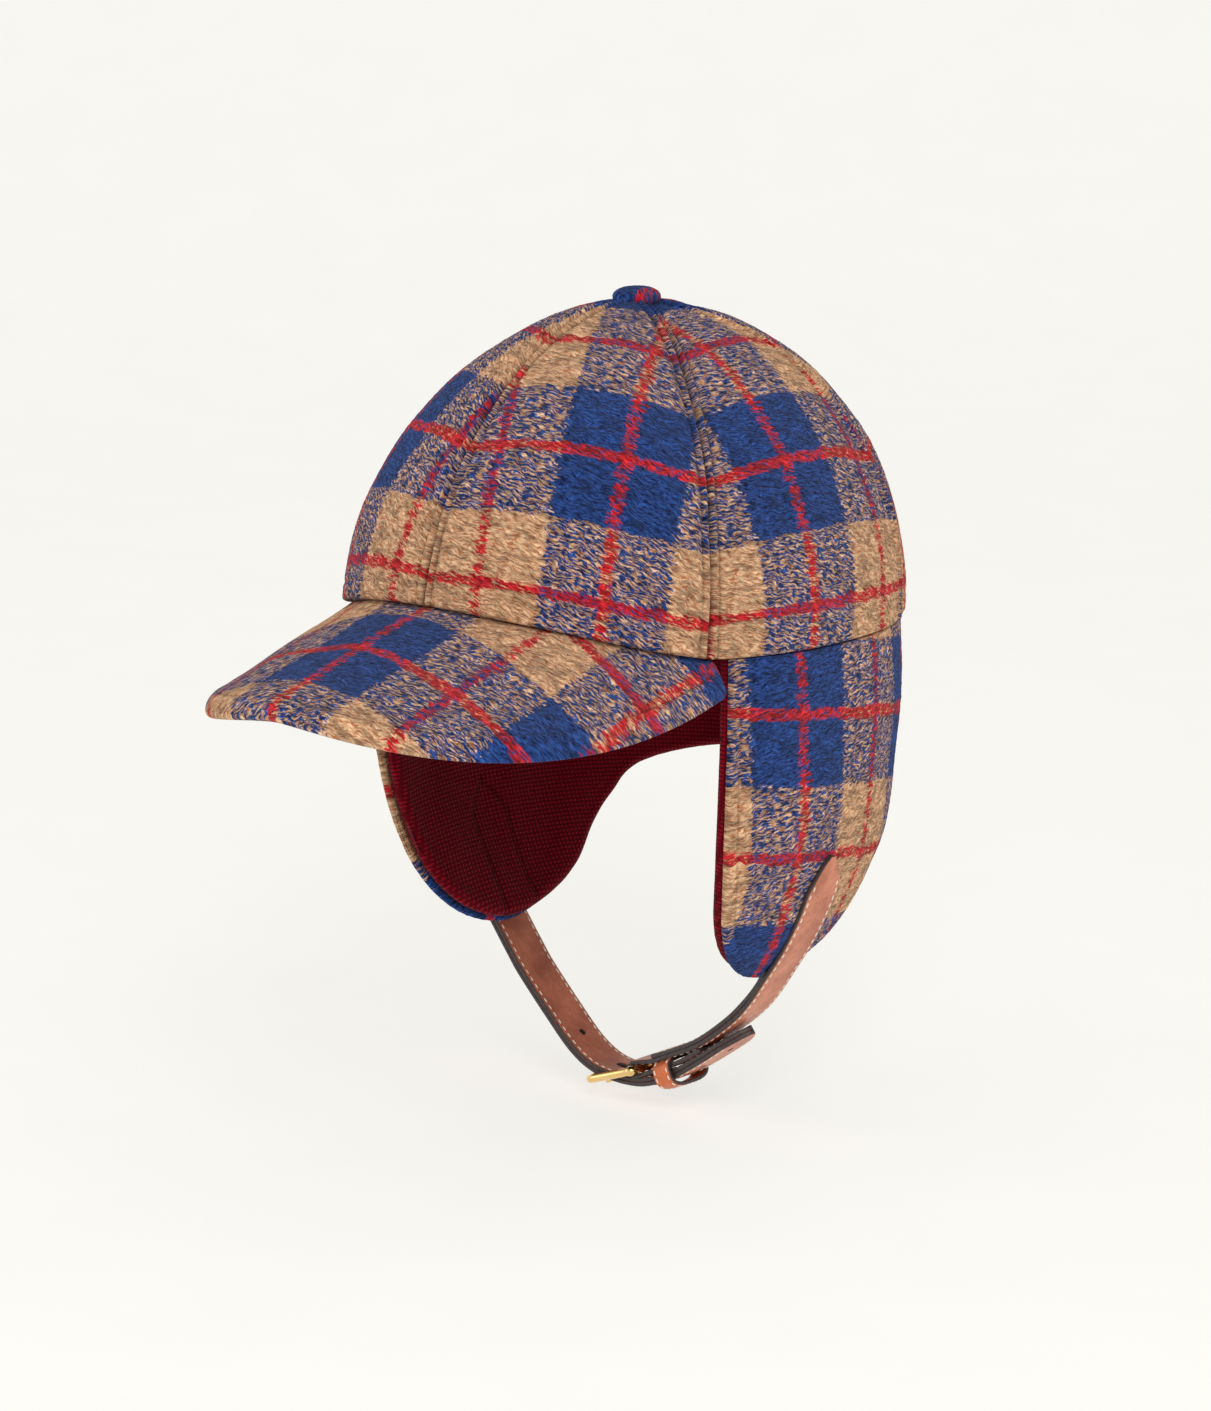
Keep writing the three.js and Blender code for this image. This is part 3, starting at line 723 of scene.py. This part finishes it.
def outline_distance(points, outline):
    """Distance from each grid point to a line of points, all in the same flat plane."""
    flat = points.reshape(-1, points.shape[-1])
    nearest = np.full(len(flat), 1e9)
    for start in range(0, len(flat), 2000):
        part = flat[start:start + 2000, None] - outline[None]
        nearest[start:start + 2000] = np.sqrt((part ** 2).sum(axis=-1)).min(axis=1)
    return nearest.reshape(points.shape[:-1])


def visor_covers():
    """The visor's upper and lower wool covers, which meet round its edge."""
    grid = visor_grid(181, 91)
    normal = np.array([0.0, 0.0, 1.0])
    ends = visor_grid(2, 60)
    edge = outline_distance(grid, np.concatenate([visor_grid(721, 2)[-1], ends[:, 0], ends[:, 1]]))
    half = VISOR_DEPTH / 2
    round_off = half * (1 - rolled(edge, half))
    shaded_groove = sum(bump_at(edge, place, 0.5) for place in VISOR_STITCH_AT[:1])
    shaded_groove = shaded_groove + 0.55 * sum(bump_at(edge, place, 0.6) for place in VISOR_STITCH_AT[1:])
    along = arc_lengths(grid, 1)
    stitches = 0.7 + 0.3 * np.cos(FULL_TURN * along / STITCH)
    waves = soft_waves(grid, 0.35, 40) * np.clip(edge / 6, 0, 1)
    relief = waves + nap(edge.shape, 0.06, 41) - 0.55 * shaded_groove * stitches
    top = grid + normal * (relief - round_off)[..., None]
    top_inside = grid - normal * np.maximum(round_off + 0.15, VISOR_COVER)[..., None]
    low = grid - normal * (VISOR_DEPTH - round_off - 0.5 * shaded_groove * stitches)[..., None]
    low_inside = grid - normal * (VISOR_DEPTH - np.maximum(round_off + 0.15, VISOR_COVER))[..., None]
    turned = np.arcsin(np.clip(1 - edge / half, 0, 1))
    wrapped = half * (turned - np.sin(turned))
    outward = unit(grid[-1:, :, :2] - grid[:1, :, :2])
    # Painted shade in the visor's stitch grooves, from the same groove profile that dents the cloth.
    dark = np.clip(shaded_groove, 0, 1) * 0.8

    def thread_round(extra):
        plan = grid[..., :2] + outward * extra[..., None]
        u = plan[..., 0] * (1 + 0.08 * np.abs(plan[..., 0]) / VISOR_HALF_WIDTH)
        return plaid_thread(u, -plan[..., 1], 0.0, 133.0, dark)

    upper = slab("visor_top", top, top_inside, WOOL_CLOTH, thread_round(wrapped))
    declare(upper, "plaid_wool", "visor_top_cover", body="crown")
    declare_sheet(grid)
    under = thread_round((math.pi - 2) * half - wrapped)
    lower = slab("visor_underside", low, low_inside, WOOL_CLOTH, under)
    declare(lower, "plaid_wool", "visor_under_cover", body="crown")
    declare_sheet(grid)


# ---------------------------------------------------------------- flap band
def spline(points, count):
    """A smooth line through points, evenly spaced along its length."""
    points = np.array(points, dtype=float)
    ends = [2 * points[0] - points[1], *points, 2 * points[-1] - points[-2]]
    line = []
    for a, b, c, d in zip(ends, ends[1:], ends[2:], ends[3:]):
        t = np.linspace(0, 1, 40, endpoint=False)[:, None]
        square = (2 * a - 5 * b + 4 * c - d) * t ** 2
        cube = (3 * b - a - 3 * c + d) * t ** 3
        line.append(0.5 * (2 * b + (c - a) * t + square + cube))
    line = np.concatenate([*line, points[-1:]])
    length = arc_lengths(line)
    even = np.linspace(0, length[-1], count)
    return np.stack([np.interp(even, length, line[:, i]) for i in range(points.shape[1])], axis=-1)


def flap_point(theta, depth):
    """A point of the flap band's outer face: theta in degrees, depth below the hem's middle."""
    lean = FLAP_LEAN * (np.clip(depth, 0, None) / FLAP_DROP) ** 3
    angle = np.radians(theta)
    x = (CROWN_HALF_WIDTH - FLAP_TUCK - lean) * np.sin(angle)
    y = -(CROWN_HALF_LENGTH - FLAP_TUCK) * np.cos(angle)
    return np.stack([x, y, -depth], axis=-1)


def band_domain(columns, rows, margin=0.0):
    """Angle, depth and distance from the free edge over one half of the flap band."""
    outline = spline([(angle * MM_PER_DEGREE, depth) for angle, depth in FLAP_OUTLINE], 900)
    ahead = unit(np.gradient(outline, axis=0))
    outline = outline + margin * np.stack([ahead[:, 1], -ahead[:, 0]], axis=-1)
    share = np.linspace(0, 1, columns) ** 1.25
    down = 1 - (1 - np.linspace(0, 1, rows)) ** 1.5
    step = np.linspace(0, 1, len(outline))
    bottom = np.stack([np.interp(share, step, outline[:, i]) for i in range(2)], axis=-1)
    first_angle = FLAP_FRONT + margin / MM_PER_DEGREE
    top_angle = first_angle + (180 - first_angle) * share
    top_depth = 0.6 - hem_height(np.radians(top_angle))
    top = np.stack([top_angle * MM_PER_DEGREE, top_depth], axis=-1)
    flat = top[None] + (bottom - top)[None] * down[:, None, None]
    front_depth = np.linspace(top_depth[0], outline[0, 1], 60)
    front = np.stack([np.full(60, first_angle * MM_PER_DEGREE), front_depth], axis=-1)
    edge = outline_distance(flat, np.concatenate([front, outline]))
    return flat[..., 0] / MM_PER_DEGREE, flat[..., 1], edge


def patch_welt(grid):
    """Dent that the sewn-on strap end presses into the padding: a long leaf outline."""
    strap_y = joint_mm("left_strap_swing")[1]
    across = np.abs(grid[..., 1] - strap_y)
    top, bottom = -77.5, -123.0
    height = np.clip((grid[..., 2] - bottom) / (top - bottom), 0, 1)
    half = STRAP_HALF_WIDTH * np.clip(4 * (1 - height), 0, 1) ** 0.6
    inside = (grid[..., 2] < top + 4) * 1.0
    return bump_at(across, half, 1.3) * inside, np.clip(1 - across / np.maximum(half, 0.1), 0, 1) * inside


def mirrored(side, *grids):
    """Grids for the wearer's left as they are, or turned over for the right."""
    if side == "left":
        return grids
    return tuple(grid * np.array([-1.0, 1.0, 1.0]) for grid in grids)


def blend_band(piece):
    """Bakes the band's placement into its mesh."""
    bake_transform(piece)


def band_layer(name, side, outer, inner, material, thread, slot_name, part, grid, form):
    """One layer of half the flap band."""
    outer, inner = mirrored(side, outer, inner)
    piece = slab(name, outer, inner, material, thread)
    declare(piece, slot_name, f"{side}_flap_{part}", f"neck_flap_{part}")
    if form == "padded":
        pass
    else:
        declare_sheet(grid)
    blend_band(piece)


def band_wadding(side):
    """The wadding in half of the flap band, inside the rolled edge of the knit."""
    theta, depth, edge = band_domain(81, 51, WADDING_MARGIN)
    grid = flap_point(theta, depth)
    normal = outward_normals(grid)
    half = rolled(edge, 2.5)
    outer = grid + normal * (-WADDING_DEPTH + half)[..., None]
    inner = grid + normal * (-WADDING_DEPTH - half)[..., None]
    thread = np.stack([theta * MM_PER_DEGREE, depth, np.zeros_like(depth)], axis=-1)
    name = f"{side}_band_wadding"
    band_layer(name, side, outer, inner, BATTING, thread, "wadding", "wadding", grid, "padded")


def flap_band(side):
    """Half of the flap band: wool outside and a knit lining that rolls round the free edge; band_wadding
    makes the wadding between.
    """
    theta, depth, edge = band_domain(171, 121)
    grid = flap_point(theta, depth)
    normal = outward_normals(grid)
    seed = 60 if side == "left" else 70
    along_u = (theta - FLAP_FRONT) * MM_PER_DEGREE * (1 + 0.08 * (theta - FLAP_FRONT) / 60)
    waves = soft_waves(grid, 0.7, seed) * np.clip(edge / 10, 0, 1)
    welt, pressed = patch_welt(grid)
    seam = bump_at(along_u, along_u.max(), 1.0)

    def at(offset):
        return grid + normal * offset[..., None]

    puff = 1.1 * np.clip(edge / 16, 0, 1) ** 0.8 - 0.7 * seam
    fuzz = nap(edge.shape, 0.07, seed + 1)
    wool_out = at(-1.4 + 1.4 * rolled(edge, 1.5) + waves + puff + fuzz - 0.3 * bump_at(edge, 4, 0.7))
    wool_in = at(-1.4 - 1.2 * rolled(edge, 1.5) + waves)
    u = along_u - 0.1 * depth
    v = depth - 0.14 * along_u
    # The third thread coordinate paints shade along the stitch line near the free edge and in the
    # centre-back seam.
    thread = plaid_thread(u, v, 26.0, 20.5, np.clip(0.5 * bump_at(edge, 4, 0.5) + seam, 0, 1))
    band_layer(
        f"{side}_band_wool", side, wool_out, wool_in, WOOL_CLOTH, thread, "plaid_wool", "wool", grid, "sheet"
    )

    rim = 1 - smooth_step(edge, 2.6, 6.0)
    middle = -5.8 * rim + -7.55 * (1 - rim)
    half = 2.75 * rim + 0.95 * (1 - rim)
    half = half * rolled(edge, 2.75)
    swell = 0.8 * np.clip((edge - 4) / 14, 0, 1) * (1 - pressed)
    knit_out = at(middle + half + waves * (1 - rim))
    knit_in = at(middle - half - swell + 0.7 * welt + waves * (1 - rim))
    # Painted shade in the dent that the strap presses into the knit and in the centre-back seam.
    shaded_groove = np.clip(0.7 * welt + seam, 0, 1)
    lining = np.stack([along_u, depth, shaded_groove], axis=-1)
    band_layer(
        f"{side}_band_knit", side, knit_out, knit_in, KNIT, lining, "burgundy_knit", "knit", grid, "sheet"
    )


# ---------------------------------------------------------------- declarations
def declare(piece, slot_name, *nodes, body=None):
    """Puts a piece in place of CAD nodes by hiding them, and rides it on a body if named; slot_name is not
    used.
    """
    if body:
        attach(piece, body)
    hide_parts(*nodes)


def declare_sheet(grid):
    """Works out the flat width, length and area that a sheet's middle surface unrolls to, and keeps none of
    them.
    """
    width = float(arc_lengths(grid, 1)[:, -1].max()) * MM
    length = float(arc_lengths(grid)[-1].max()) * MM
    across = np.diff(grid, axis=1)[:-1]
    down = np.diff(grid, axis=0)[:, :-1]
    area = float(np.linalg.norm(np.cross(across, down), axis=-1).sum()) * MM * MM
    area = min(max(area, 0.31 * width * length), width * length)


# ---------------------------------------------------------------- leather straps
def path_frames(path):
    """Tangents and outward normals of a path in the plane of the strap loop."""
    tangent = unit(np.gradient(path, axis=0))
    normal = np.stack([tangent[:, 1], -tangent[:, 0]], axis=-1)
    return tangent, normal


def strap_section(half_width, thickness, corner=0.3):
    """Across-and-thickness outline of a strap, with softened corners and a slight crown."""
    across = np.linspace(-1, 1, 13)
    crown = 0.1 * (1 - across ** 2)
    top = [(half_width * a * (1 - corner / half_width), thickness / 2 + c) for a, c in zip(across, crown)]
    side = [(half_width, thickness / 2 - corner), (half_width, -thickness / 2 + corner)]
    bottom = [(a, -b) for a, b in reversed(top)]
    return np.array(top + side + bottom + [(-a, -b) for a, b in side])


def tube_faces(rows, columns, start=0):
    """Faces of a tube of rings, closed at both ends."""
    first = [start + i for i in range(columns)]
    last = [i + (rows - 1) * columns for i in first]
    return [*grid_faces(rows, columns, start, True), first[::-1], last]


def loop_faces(rows, columns):
    """Faces of a tube of rings whose last ring joins its first."""
    return [[i % (rows * columns) for i in face] for face in grid_faces(rows + 1, columns, 0, True)]


def strap_slots(rings):
    """Material numbers of a strap tube's faces: 1 on its edges, 0 on its two sides."""
    rows, columns = rings.shape[:2]
    half = columns // 2
    edges = {half - 3, half - 2, half - 1, columns - 3, columns - 2, columns - 1}
    row = [1 if i in edges else 0 for i in range(columns)]
    return row * (rows - 1) + [1, 1]


def stitch_mesh(centres, along, out, points, faces, length=2.2, radius=0.3):
    """Adds one small sausage of thread per stitch, half sunk in the leather."""
    for centre, direction, normal in zip(centres, along, out):
        side = np.cross(direction, normal)
        start = len(points)
        for share, size in ((-1, 0.25), (-0.72, 0.85), (0, 1.0), (0.72, 0.85), (1, 0.25)):
            middle = centre + direction * share * length / 2 - normal * 0.15 * share * share
            for k in range(6):
                turn = math.pi * k / 3
                points.append(middle + radius * size * (side * math.cos(turn) + normal * math.sin(turn)))
        faces.extend(tube_faces(5, 6, start))


def strap_width(path, tips):
    """Half width along a strap whose ends narrow to points over the lengths in tips."""
    length = arc_lengths(path)
    half = np.full(len(path), STRAP_HALF_WIDTH)
    for tip, distance in zip(tips, (length, length[-1] - length)):
        if tip:
            half = half * np.clip(distance / tip, 0.03, 1) ** 0.62
    return half


def strap_stitches(path, width_at, thickness, faces_out, ends, points, faces):
    """Rows of stitches near both edges of a strap, on its outer face (1) or its inner one (-1)."""
    tangent, normal = path_frames(path)
    length = arc_lengths(path)
    places = np.arange(ends[0], length[-1] - ends[1], STITCH)
    x, z, tx, tz, nx, nz, half = (
        np.interp(places, length, values) for values in (*path.T, *tangent.T, *normal.T, width_at)
    )
    level = 0 * x
    along = unit(np.stack([tx, level, tz], axis=-1))
    for face in faces_out:
        out = unit(np.stack([nx, level, nz], axis=-1)) * face
        for edge in (-1, 1):
            y = STRAP_Y + edge * (half - STITCH_INSET)
            centres = np.stack([x, y, z], axis=-1) + out * (thickness / 2 + 0.02)
            kept = half > 3
            stitch_mesh(centres[kept], along[kept], out[kept], points, faces)


def punch(piece, path, cuts):
    """Cuts round-ended slots through a strap: each cut is (x, half length, half width)."""
    order = np.argsort(path[:, 0])
    _, normal = path_frames(path)
    points, faces = [], []
    for x, half_length, half_width in cuts:
        z = np.interp(x, path[order, 0], path[order, 1])
        nx, nz = (np.interp(x, path[order, 0], normal[order, i]) for i in range(2))
        start = len(points)
        ring = [FULL_TURN * k / 20 for k in range(20)]
        for depth in (-4, 4):
            for turn in ring:
                straight = math.copysign(half_length - half_width, math.cos(turn))
                along = half_width * math.cos(turn) + straight
                across = half_width * math.sin(turn)
                place = (x - nz * along + nx * depth, STRAP_Y + across, z + nx * along + nz * depth)
                points.append(place)
        faces += tube_faces(2, 20, start)
    cutter = add_mesh("cutter", points, faces, [EDGE_PAINT])
    modifier = piece.modifiers.new("holes", "BOOLEAN")
    modifier.object = cutter
    modifier.operation = "DIFFERENCE"
    modifier.solver = "EXACT"
    modifier.material_mode = "TRANSFER"
    apply_modifiers(piece)
    bpy.data.objects.remove(cutter)


def apply_modifiers(piece):
    """Turns a piece's modifiers into its mesh."""
    bpy.context.view_layer.update()
    graph = bpy.context.evaluated_depsgraph_get()
    mesh = bpy.data.meshes.new_from_object(piece.evaluated_get(graph))
    piece.modifiers.clear()
    piece.data = mesh


def add_thread(piece, points, faces):
    """Adds stitches to a piece as part of its mesh, in the sewing thread's material."""
    stitches = add_mesh("stitches", points, faces, [THREAD])
    piece.data.materials.append(THREAD)
    number = len(piece.data.materials) - 1
    shape = bmesh.new()
    shape.from_mesh(piece.data)
    before = len(shape.faces)
    shape.from_mesh(stitches.data)
    shape.faces.ensure_lookup_table()
    for face in shape.faces[before:]:
        face.material_index = number
    shape.to_mesh(piece.data)
    shape.free()
    piece.data.shade_smooth()
    bpy.data.objects.remove(stitches)


def strap_piece(name, path, thickness, material, faces_out, tips=(0, 0), cuts=()):
    """A strap along a path in the loop's plane, with painted edges, holes and stitches."""
    _, normal = path_frames(path)
    width_at = strap_width(path, tips)
    section = strap_section(STRAP_HALF_WIDTH, thickness)
    share = section[:, 0] / STRAP_HALF_WIDTH
    rings = np.stack([
        path[:, :1] + normal[:, :1] * section[:, 1],
        STRAP_Y + width_at[:, None] * share,
        path[:, 1:] + normal[:, 1:] * section[:, 1],
    ], axis=-1)
    faces = tube_faces(len(path), len(section))
    piece = add_mesh(name, rings.reshape(-1, 3), faces, [material, EDGE_PAINT], strap_slots(rings))
    if cuts:
        punch(piece, path, cuts)
    points, stitch_faces = [], []
    ends = [2.5 + 0.5 * tip for tip in tips]
    strap_stitches(path, width_at, thickness, faces_out, ends, points, stitch_faces)
    add_thread(piece, points, stitch_faces)
    return piece


def offset_path(path, distance):
    """A path moved outward, away from the head."""
    return path + path_frames(path)[1] * distance


def patch_path(side):
    """Path of a strap's sewn-on end, up the outside of its ear flap from the flap's lower edge."""
    depth = np.array([120.0, 112.0, 104.0, 96.0, 87.0, 77.5])
    turn = math.degrees(math.acos(-STRAP_Y / (CROWN_HALF_LENGTH - FLAP_TUCK)))
    place = flap_point(np.full(len(depth), turn), depth)
    lift = np.array([1.9, 2.2, 2.4, 2.5, 2.5, 2.4])
    return np.stack([side * (place[:, 0] + lift), place[:, 2]], axis=-1)


def blend_strap(piece):
    """Bakes a strap's placement into its mesh."""
    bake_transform(piece)


def left_straps():
    """The left strap, from its fold round the heel bar to its point on the flap, and its lining."""
    heel = joint_mm("buckle_tilt")
    turn = np.radians([275, 240, 205, 170, 135, 100])
    wrap = np.stack([heel[0] + 2.5 * np.cos(turn), heel[2] + 2.5 * np.sin(turn)], axis=-1)
    lower = [(33, -153), (27, -157.2), (20, -161), (13, -164.2)]
    upper = [(12, -160.8), (20, -157.3), (33, -151), (46, -141.2), (54, -133)]
    main = spline([*lower, *wrap, *upper, *patch_path(1)], 260)
    outer = strap_piece("left_chin_strap", main, STRAP_LAYER, STRAP_LEATHER, (1,), (0, 13))
    declare(outer, "strap_leather", "left_strap_outer", "left_strap_patch")
    blend_strap(outer)
    lining = spline([
        (12, -159.2), (20, -155.8), (32.1, -149.7), (44.9, -140), (53, -131.9), (58.2, -125.4), (61.3, -120),
    ], 100)
    inner = strap_piece("left_strap_lining", lining, LINING_LAYER, INNER_LEATHER, (-1,))
    declare(inner, "inner_leather", "left_strap_inner", body="left_strap")


def right_straps():
    """The right strap, from its point on the flap through the buckle to its tip, and its lining."""
    hanging = [
        (-53, -133.8), (-48, -140), (-36, -152.5), (-25, -163), (-15.4, -168.4), (-5, -170.2), (5, -170.1),
    ]
    free_end = [(12, -168.4), (20, -165.2), (34, -156.2), (50, -144.6)]
    main = spline([*patch_path(-1)[::-1], *hanging, *free_end], 300)
    below = main[main[:, 1] < -121]
    cuts = ((-27, 1.3, 1.3), (28, 1.3, 1.3), (40, 1.3, 1.3), (-2.5, 7.75, 1.7))
    outer = strap_piece(
        "right_chin_strap", offset_path(main, 0.4), STRAP_LAYER, STRAP_LEATHER, (1,), (13, 10), cuts
    )
    declare(outer, "strap_leather", "right_strap_outer", "right_strap_patch")
    blend_strap(outer)
    inner = strap_piece(
        "right_strap_lining", offset_path(below, -1.2), LINING_LAYER, INNER_LEATHER, (-1,), (0, 10), cuts
    )
    declare(inner, "inner_leather", "right_strap_inner", body="right_strap")


def keeper():
    """The strap keeper: a loose stitched loop round the free end."""
    centre = np.array([18.6, STRAP_Y, -164.6])
    along = unit(np.array([0.92, 0.0, 0.39]))
    up = np.array([-along[2], 0.0, along[0]])
    turn = ring_angles(96)
    y = 9.9 * np.sign(np.cos(turn)) * np.abs(np.cos(turn)) ** 0.62
    sine = np.sin(turn)
    high = np.where(sine > 0, 4.8 * np.abs(sine) ** 0.45, -4.6 * np.abs(sine) ** 0.8)
    loop = centre + y[:, None] * np.array([0.0, 1.0, 0.0]) + high[:, None] * up
    forward = unit(np.roll(loop, -1, axis=0) - np.roll(loop, 1, axis=0))
    out = unit(np.cross(forward, along))
    out *= np.sign(np.sum(out * (loop - centre)))
    section = strap_section(3.9, 1.3, 0.25)
    rings = loop[:, None] + section[None, :, :1] * along + section[None, :, 1:] * out[:, None]
    rows, columns = rings.shape[:2]
    ringed = np.concatenate([rings, rings[:1]])
    faces = loop_faces(rows, columns)
    slots = strap_slots(ringed)[:-2]
    materials = [KEEPER_LEATHER, EDGE_PAINT]
    piece = add_mesh("strap_keeper_loop", rings.reshape(-1, 3), faces, materials, slots)
    length = arc_lengths(np.concatenate([loop, loop[:1]]))
    places = np.arange(0, length[-1] - 1, 2.7)
    points, stitch_faces = [], []

    def at(values):
        closed = np.concatenate([values, values[:1]])
        return np.stack([np.interp(places, length, closed[:, i]) for i in range(3)], axis=-1)

    for edge in (-1, 1):
        centres = at(loop) + at(out) * 0.75 + along * edge * 2.75
        stitch_mesh(centres, unit(at(forward)), unit(at(out)), points, stitch_faces, 1.9, 0.27)
    add_thread(piece, points, stitch_faces)
    declare(piece, "keeper_leather", "strap_keeper", body="left_strap")


def round_bar(name, path, radius_at, up, material, sides=16):
    """A round bar along a closed path of points."""
    forward = unit(np.roll(path, -1, axis=0) - np.roll(path, 1, axis=0))
    flat = unit(np.cross(forward, up))
    over = np.cross(flat, forward)
    turn = ring_angles(sides)
    ring = flat[:, None] * np.cos(turn)[:, None] + over[:, None] * np.sin(turn)[:, None]
    rings = path[:, None] + ring * radius_at[:, None, None]
    return add_mesh(name, rings.reshape(-1, 3), loop_faces(len(path), sides), [material])


def buckle():
    """The polished buckle frame: a rounded oblong of round bar, thicker at its hinge corners."""
    heel = joint_mm("buckle_tilt")
    along = np.array([-math.cos(BUCKLE_TILT), 0.0, -math.sin(BUCKLE_TILT)])
    across = np.array([0.0, 1.0, 0.0])
    reach, half, corner = 21.5, 10.35, 3.6
    inner = reach - corner
    turn = np.linspace(0, math.pi / 2, 10)
    outline = [(0.0, y) for y in np.linspace(-half + 1.2, half - 1.2, 16)]
    outline += [(1.2 - 1.2 * math.cos(t), half - 1.2 + 1.2 * math.sin(t)) for t in turn[1:]]
    outline += [(x, half) for x in np.linspace(2, reach - corner, 12)]
    outline += [(inner + corner * math.sin(t), half - corner + corner * math.cos(t)) for t in turn[1:]]
    outline += [(reach, y) for y in np.linspace(half - corner - 1, -half + corner + 1, 12)]
    outline += [(inner + corner * math.cos(t), -half + corner - corner * math.sin(t)) for t in turn]
    outline += [(x, -half) for x in np.linspace(reach - corner - 1, 2, 12)]
    outline += [(1.2 - 1.2 * math.sin(t), -half + 1.2 - 1.2 * math.cos(t)) for t in turn[:-1]]
    plan = np.array(outline)
    path = heel + plan[:, :1] * along + plan[:, 1:] * across
    knuckle = np.exp(-((plan[:, 0] / 1.8) ** 2)) * np.exp(-(((np.abs(plan[:, 1]) - half) / 2.0) ** 2))
    radius = WIRE + 0.12 * (plan[:, 0] > 2) + 0.5 * knuckle
    piece = round_bar("buckle_frame_bar", path, radius, np.cross(along, across), GOLD)
    declare(piece, "gold_plate", "buckle_frame", body="buckle")


def carried_over_metal():
    """Materials for the CAD nodes that stay as they are."""
    finishes = {
        "buckle_prong": GOLD,
        "button_shell": STEEL,
        "button_rivet": STEEL,
        "visor_board": board_material(),
    }
    for node, material in finishes.items():
        piece = frame["nodes"][node]
        piece.data.materials.clear()
        piece.data.materials.append(material)


# ---------------------------------------------------------------- camera, light and floor, in metres
def aim(thing, target):
    direction = Vector(target) - thing.location
    thing.rotation_euler = direction.to_track_quat("-Z", "Y").to_euler()


CAMERA_AZIMUTH = math.radians(40)
CAMERA_ELEVATION = math.radians(12)
CAMERA_DISTANCE = 1.6
SCENE_CENTRE = (0, 0, -0.03)


def add_camera():
    """A long lens, a little above the cap, between its front and its left side."""
    across, ahead = math.cos(CAMERA_AZIMUTH), math.sin(CAMERA_AZIMUTH)
    level = math.cos(CAMERA_ELEVATION)
    right = np.array([across, ahead, 0])
    back = np.array([ahead * level, -across * level, math.sin(CAMERA_ELEVATION)])
    up = np.cross(back, right)
    target = (-6.7 * right - 35.1 * up) * MM
    data = bpy.data.cameras.new("camera")
    data.sensor_fit = "VERTICAL"
    data.sensor_height = 36
    data.lens = 119.2
    camera = add_object("camera", data)
    camera.location = target + CAMERA_DISTANCE * back
    aim(camera, target)
    bpy.context.scene.camera = camera


def add_light(name, location, size, power, tint=(1, 1, 1)):
    data = bpy.data.lights.new(name, "AREA")
    data.shape = "DISK"
    data.size = size
    data.energy = power
    data.color = tint
    light = add_object(name, data)
    light.location = location
    aim(light, SCENE_CENTRE)


def add_studio():
    """Soft light from all round, a large key at the upper right and a pale floor."""
    world = bpy.data.worlds.new("studio")
    world.use_nodes = True
    background = world.node_tree.nodes["Background"]
    background.inputs["Color"].default_value = colour(253, 252, 247)
    background.inputs["Strength"].default_value = 0.6
    bpy.context.scene.world = world
    add_light("key", (1.1, -1.0, 1.0), 0.8, 12.5, (1.0, 0.985, 0.96))
    add_light("fill", (-1.3, -1.2, 0.5), 1.2, 3.5)
    paper_bowl()


def paper_bowl():
    """A pale floor that curves up into a backdrop on every side."""
    floor_z = cad_box[0][2] / MM - 4
    flat, curve = 1500, 1300
    bend = np.linspace(0.1, math.pi / 2, 16)
    reach = np.concatenate([np.linspace(5, flat, 12), flat + curve * np.sin(bend)])
    rise = np.concatenate([np.zeros(12), curve * (1 - np.cos(bend))])
    turn = ring_angles(96)
    x = reach[:, None] * np.cos(turn)
    y = reach[:, None] * np.sin(turn)
    z = np.broadcast_to((floor_z + rise)[:, None], x.shape)
    points = np.stack([x, y, z], axis=-1)
    faces = grid_faces(len(reach), len(turn), 0, True) + [list(range(len(turn)))]
    return add_mesh("floor", points.reshape(-1, 3), faces, [floor_material()])


# ---------------------------------------------------------------- the hat
bpy.context.scene.view_settings.view_transform = "Standard"
add_camera()
add_studio()
for gore, gore_name in enumerate(PANELS):
    gore_wool(gore, gore_name)
    gore_lining(gore, gore_name)
sweatband()
button()
visor_covers()
for hat_side in ("left", "right"):
    flap_band(hat_side)
    band_wadding(hat_side)
left_straps()
right_straps()
keeper()
buckle()
carried_over_metal()
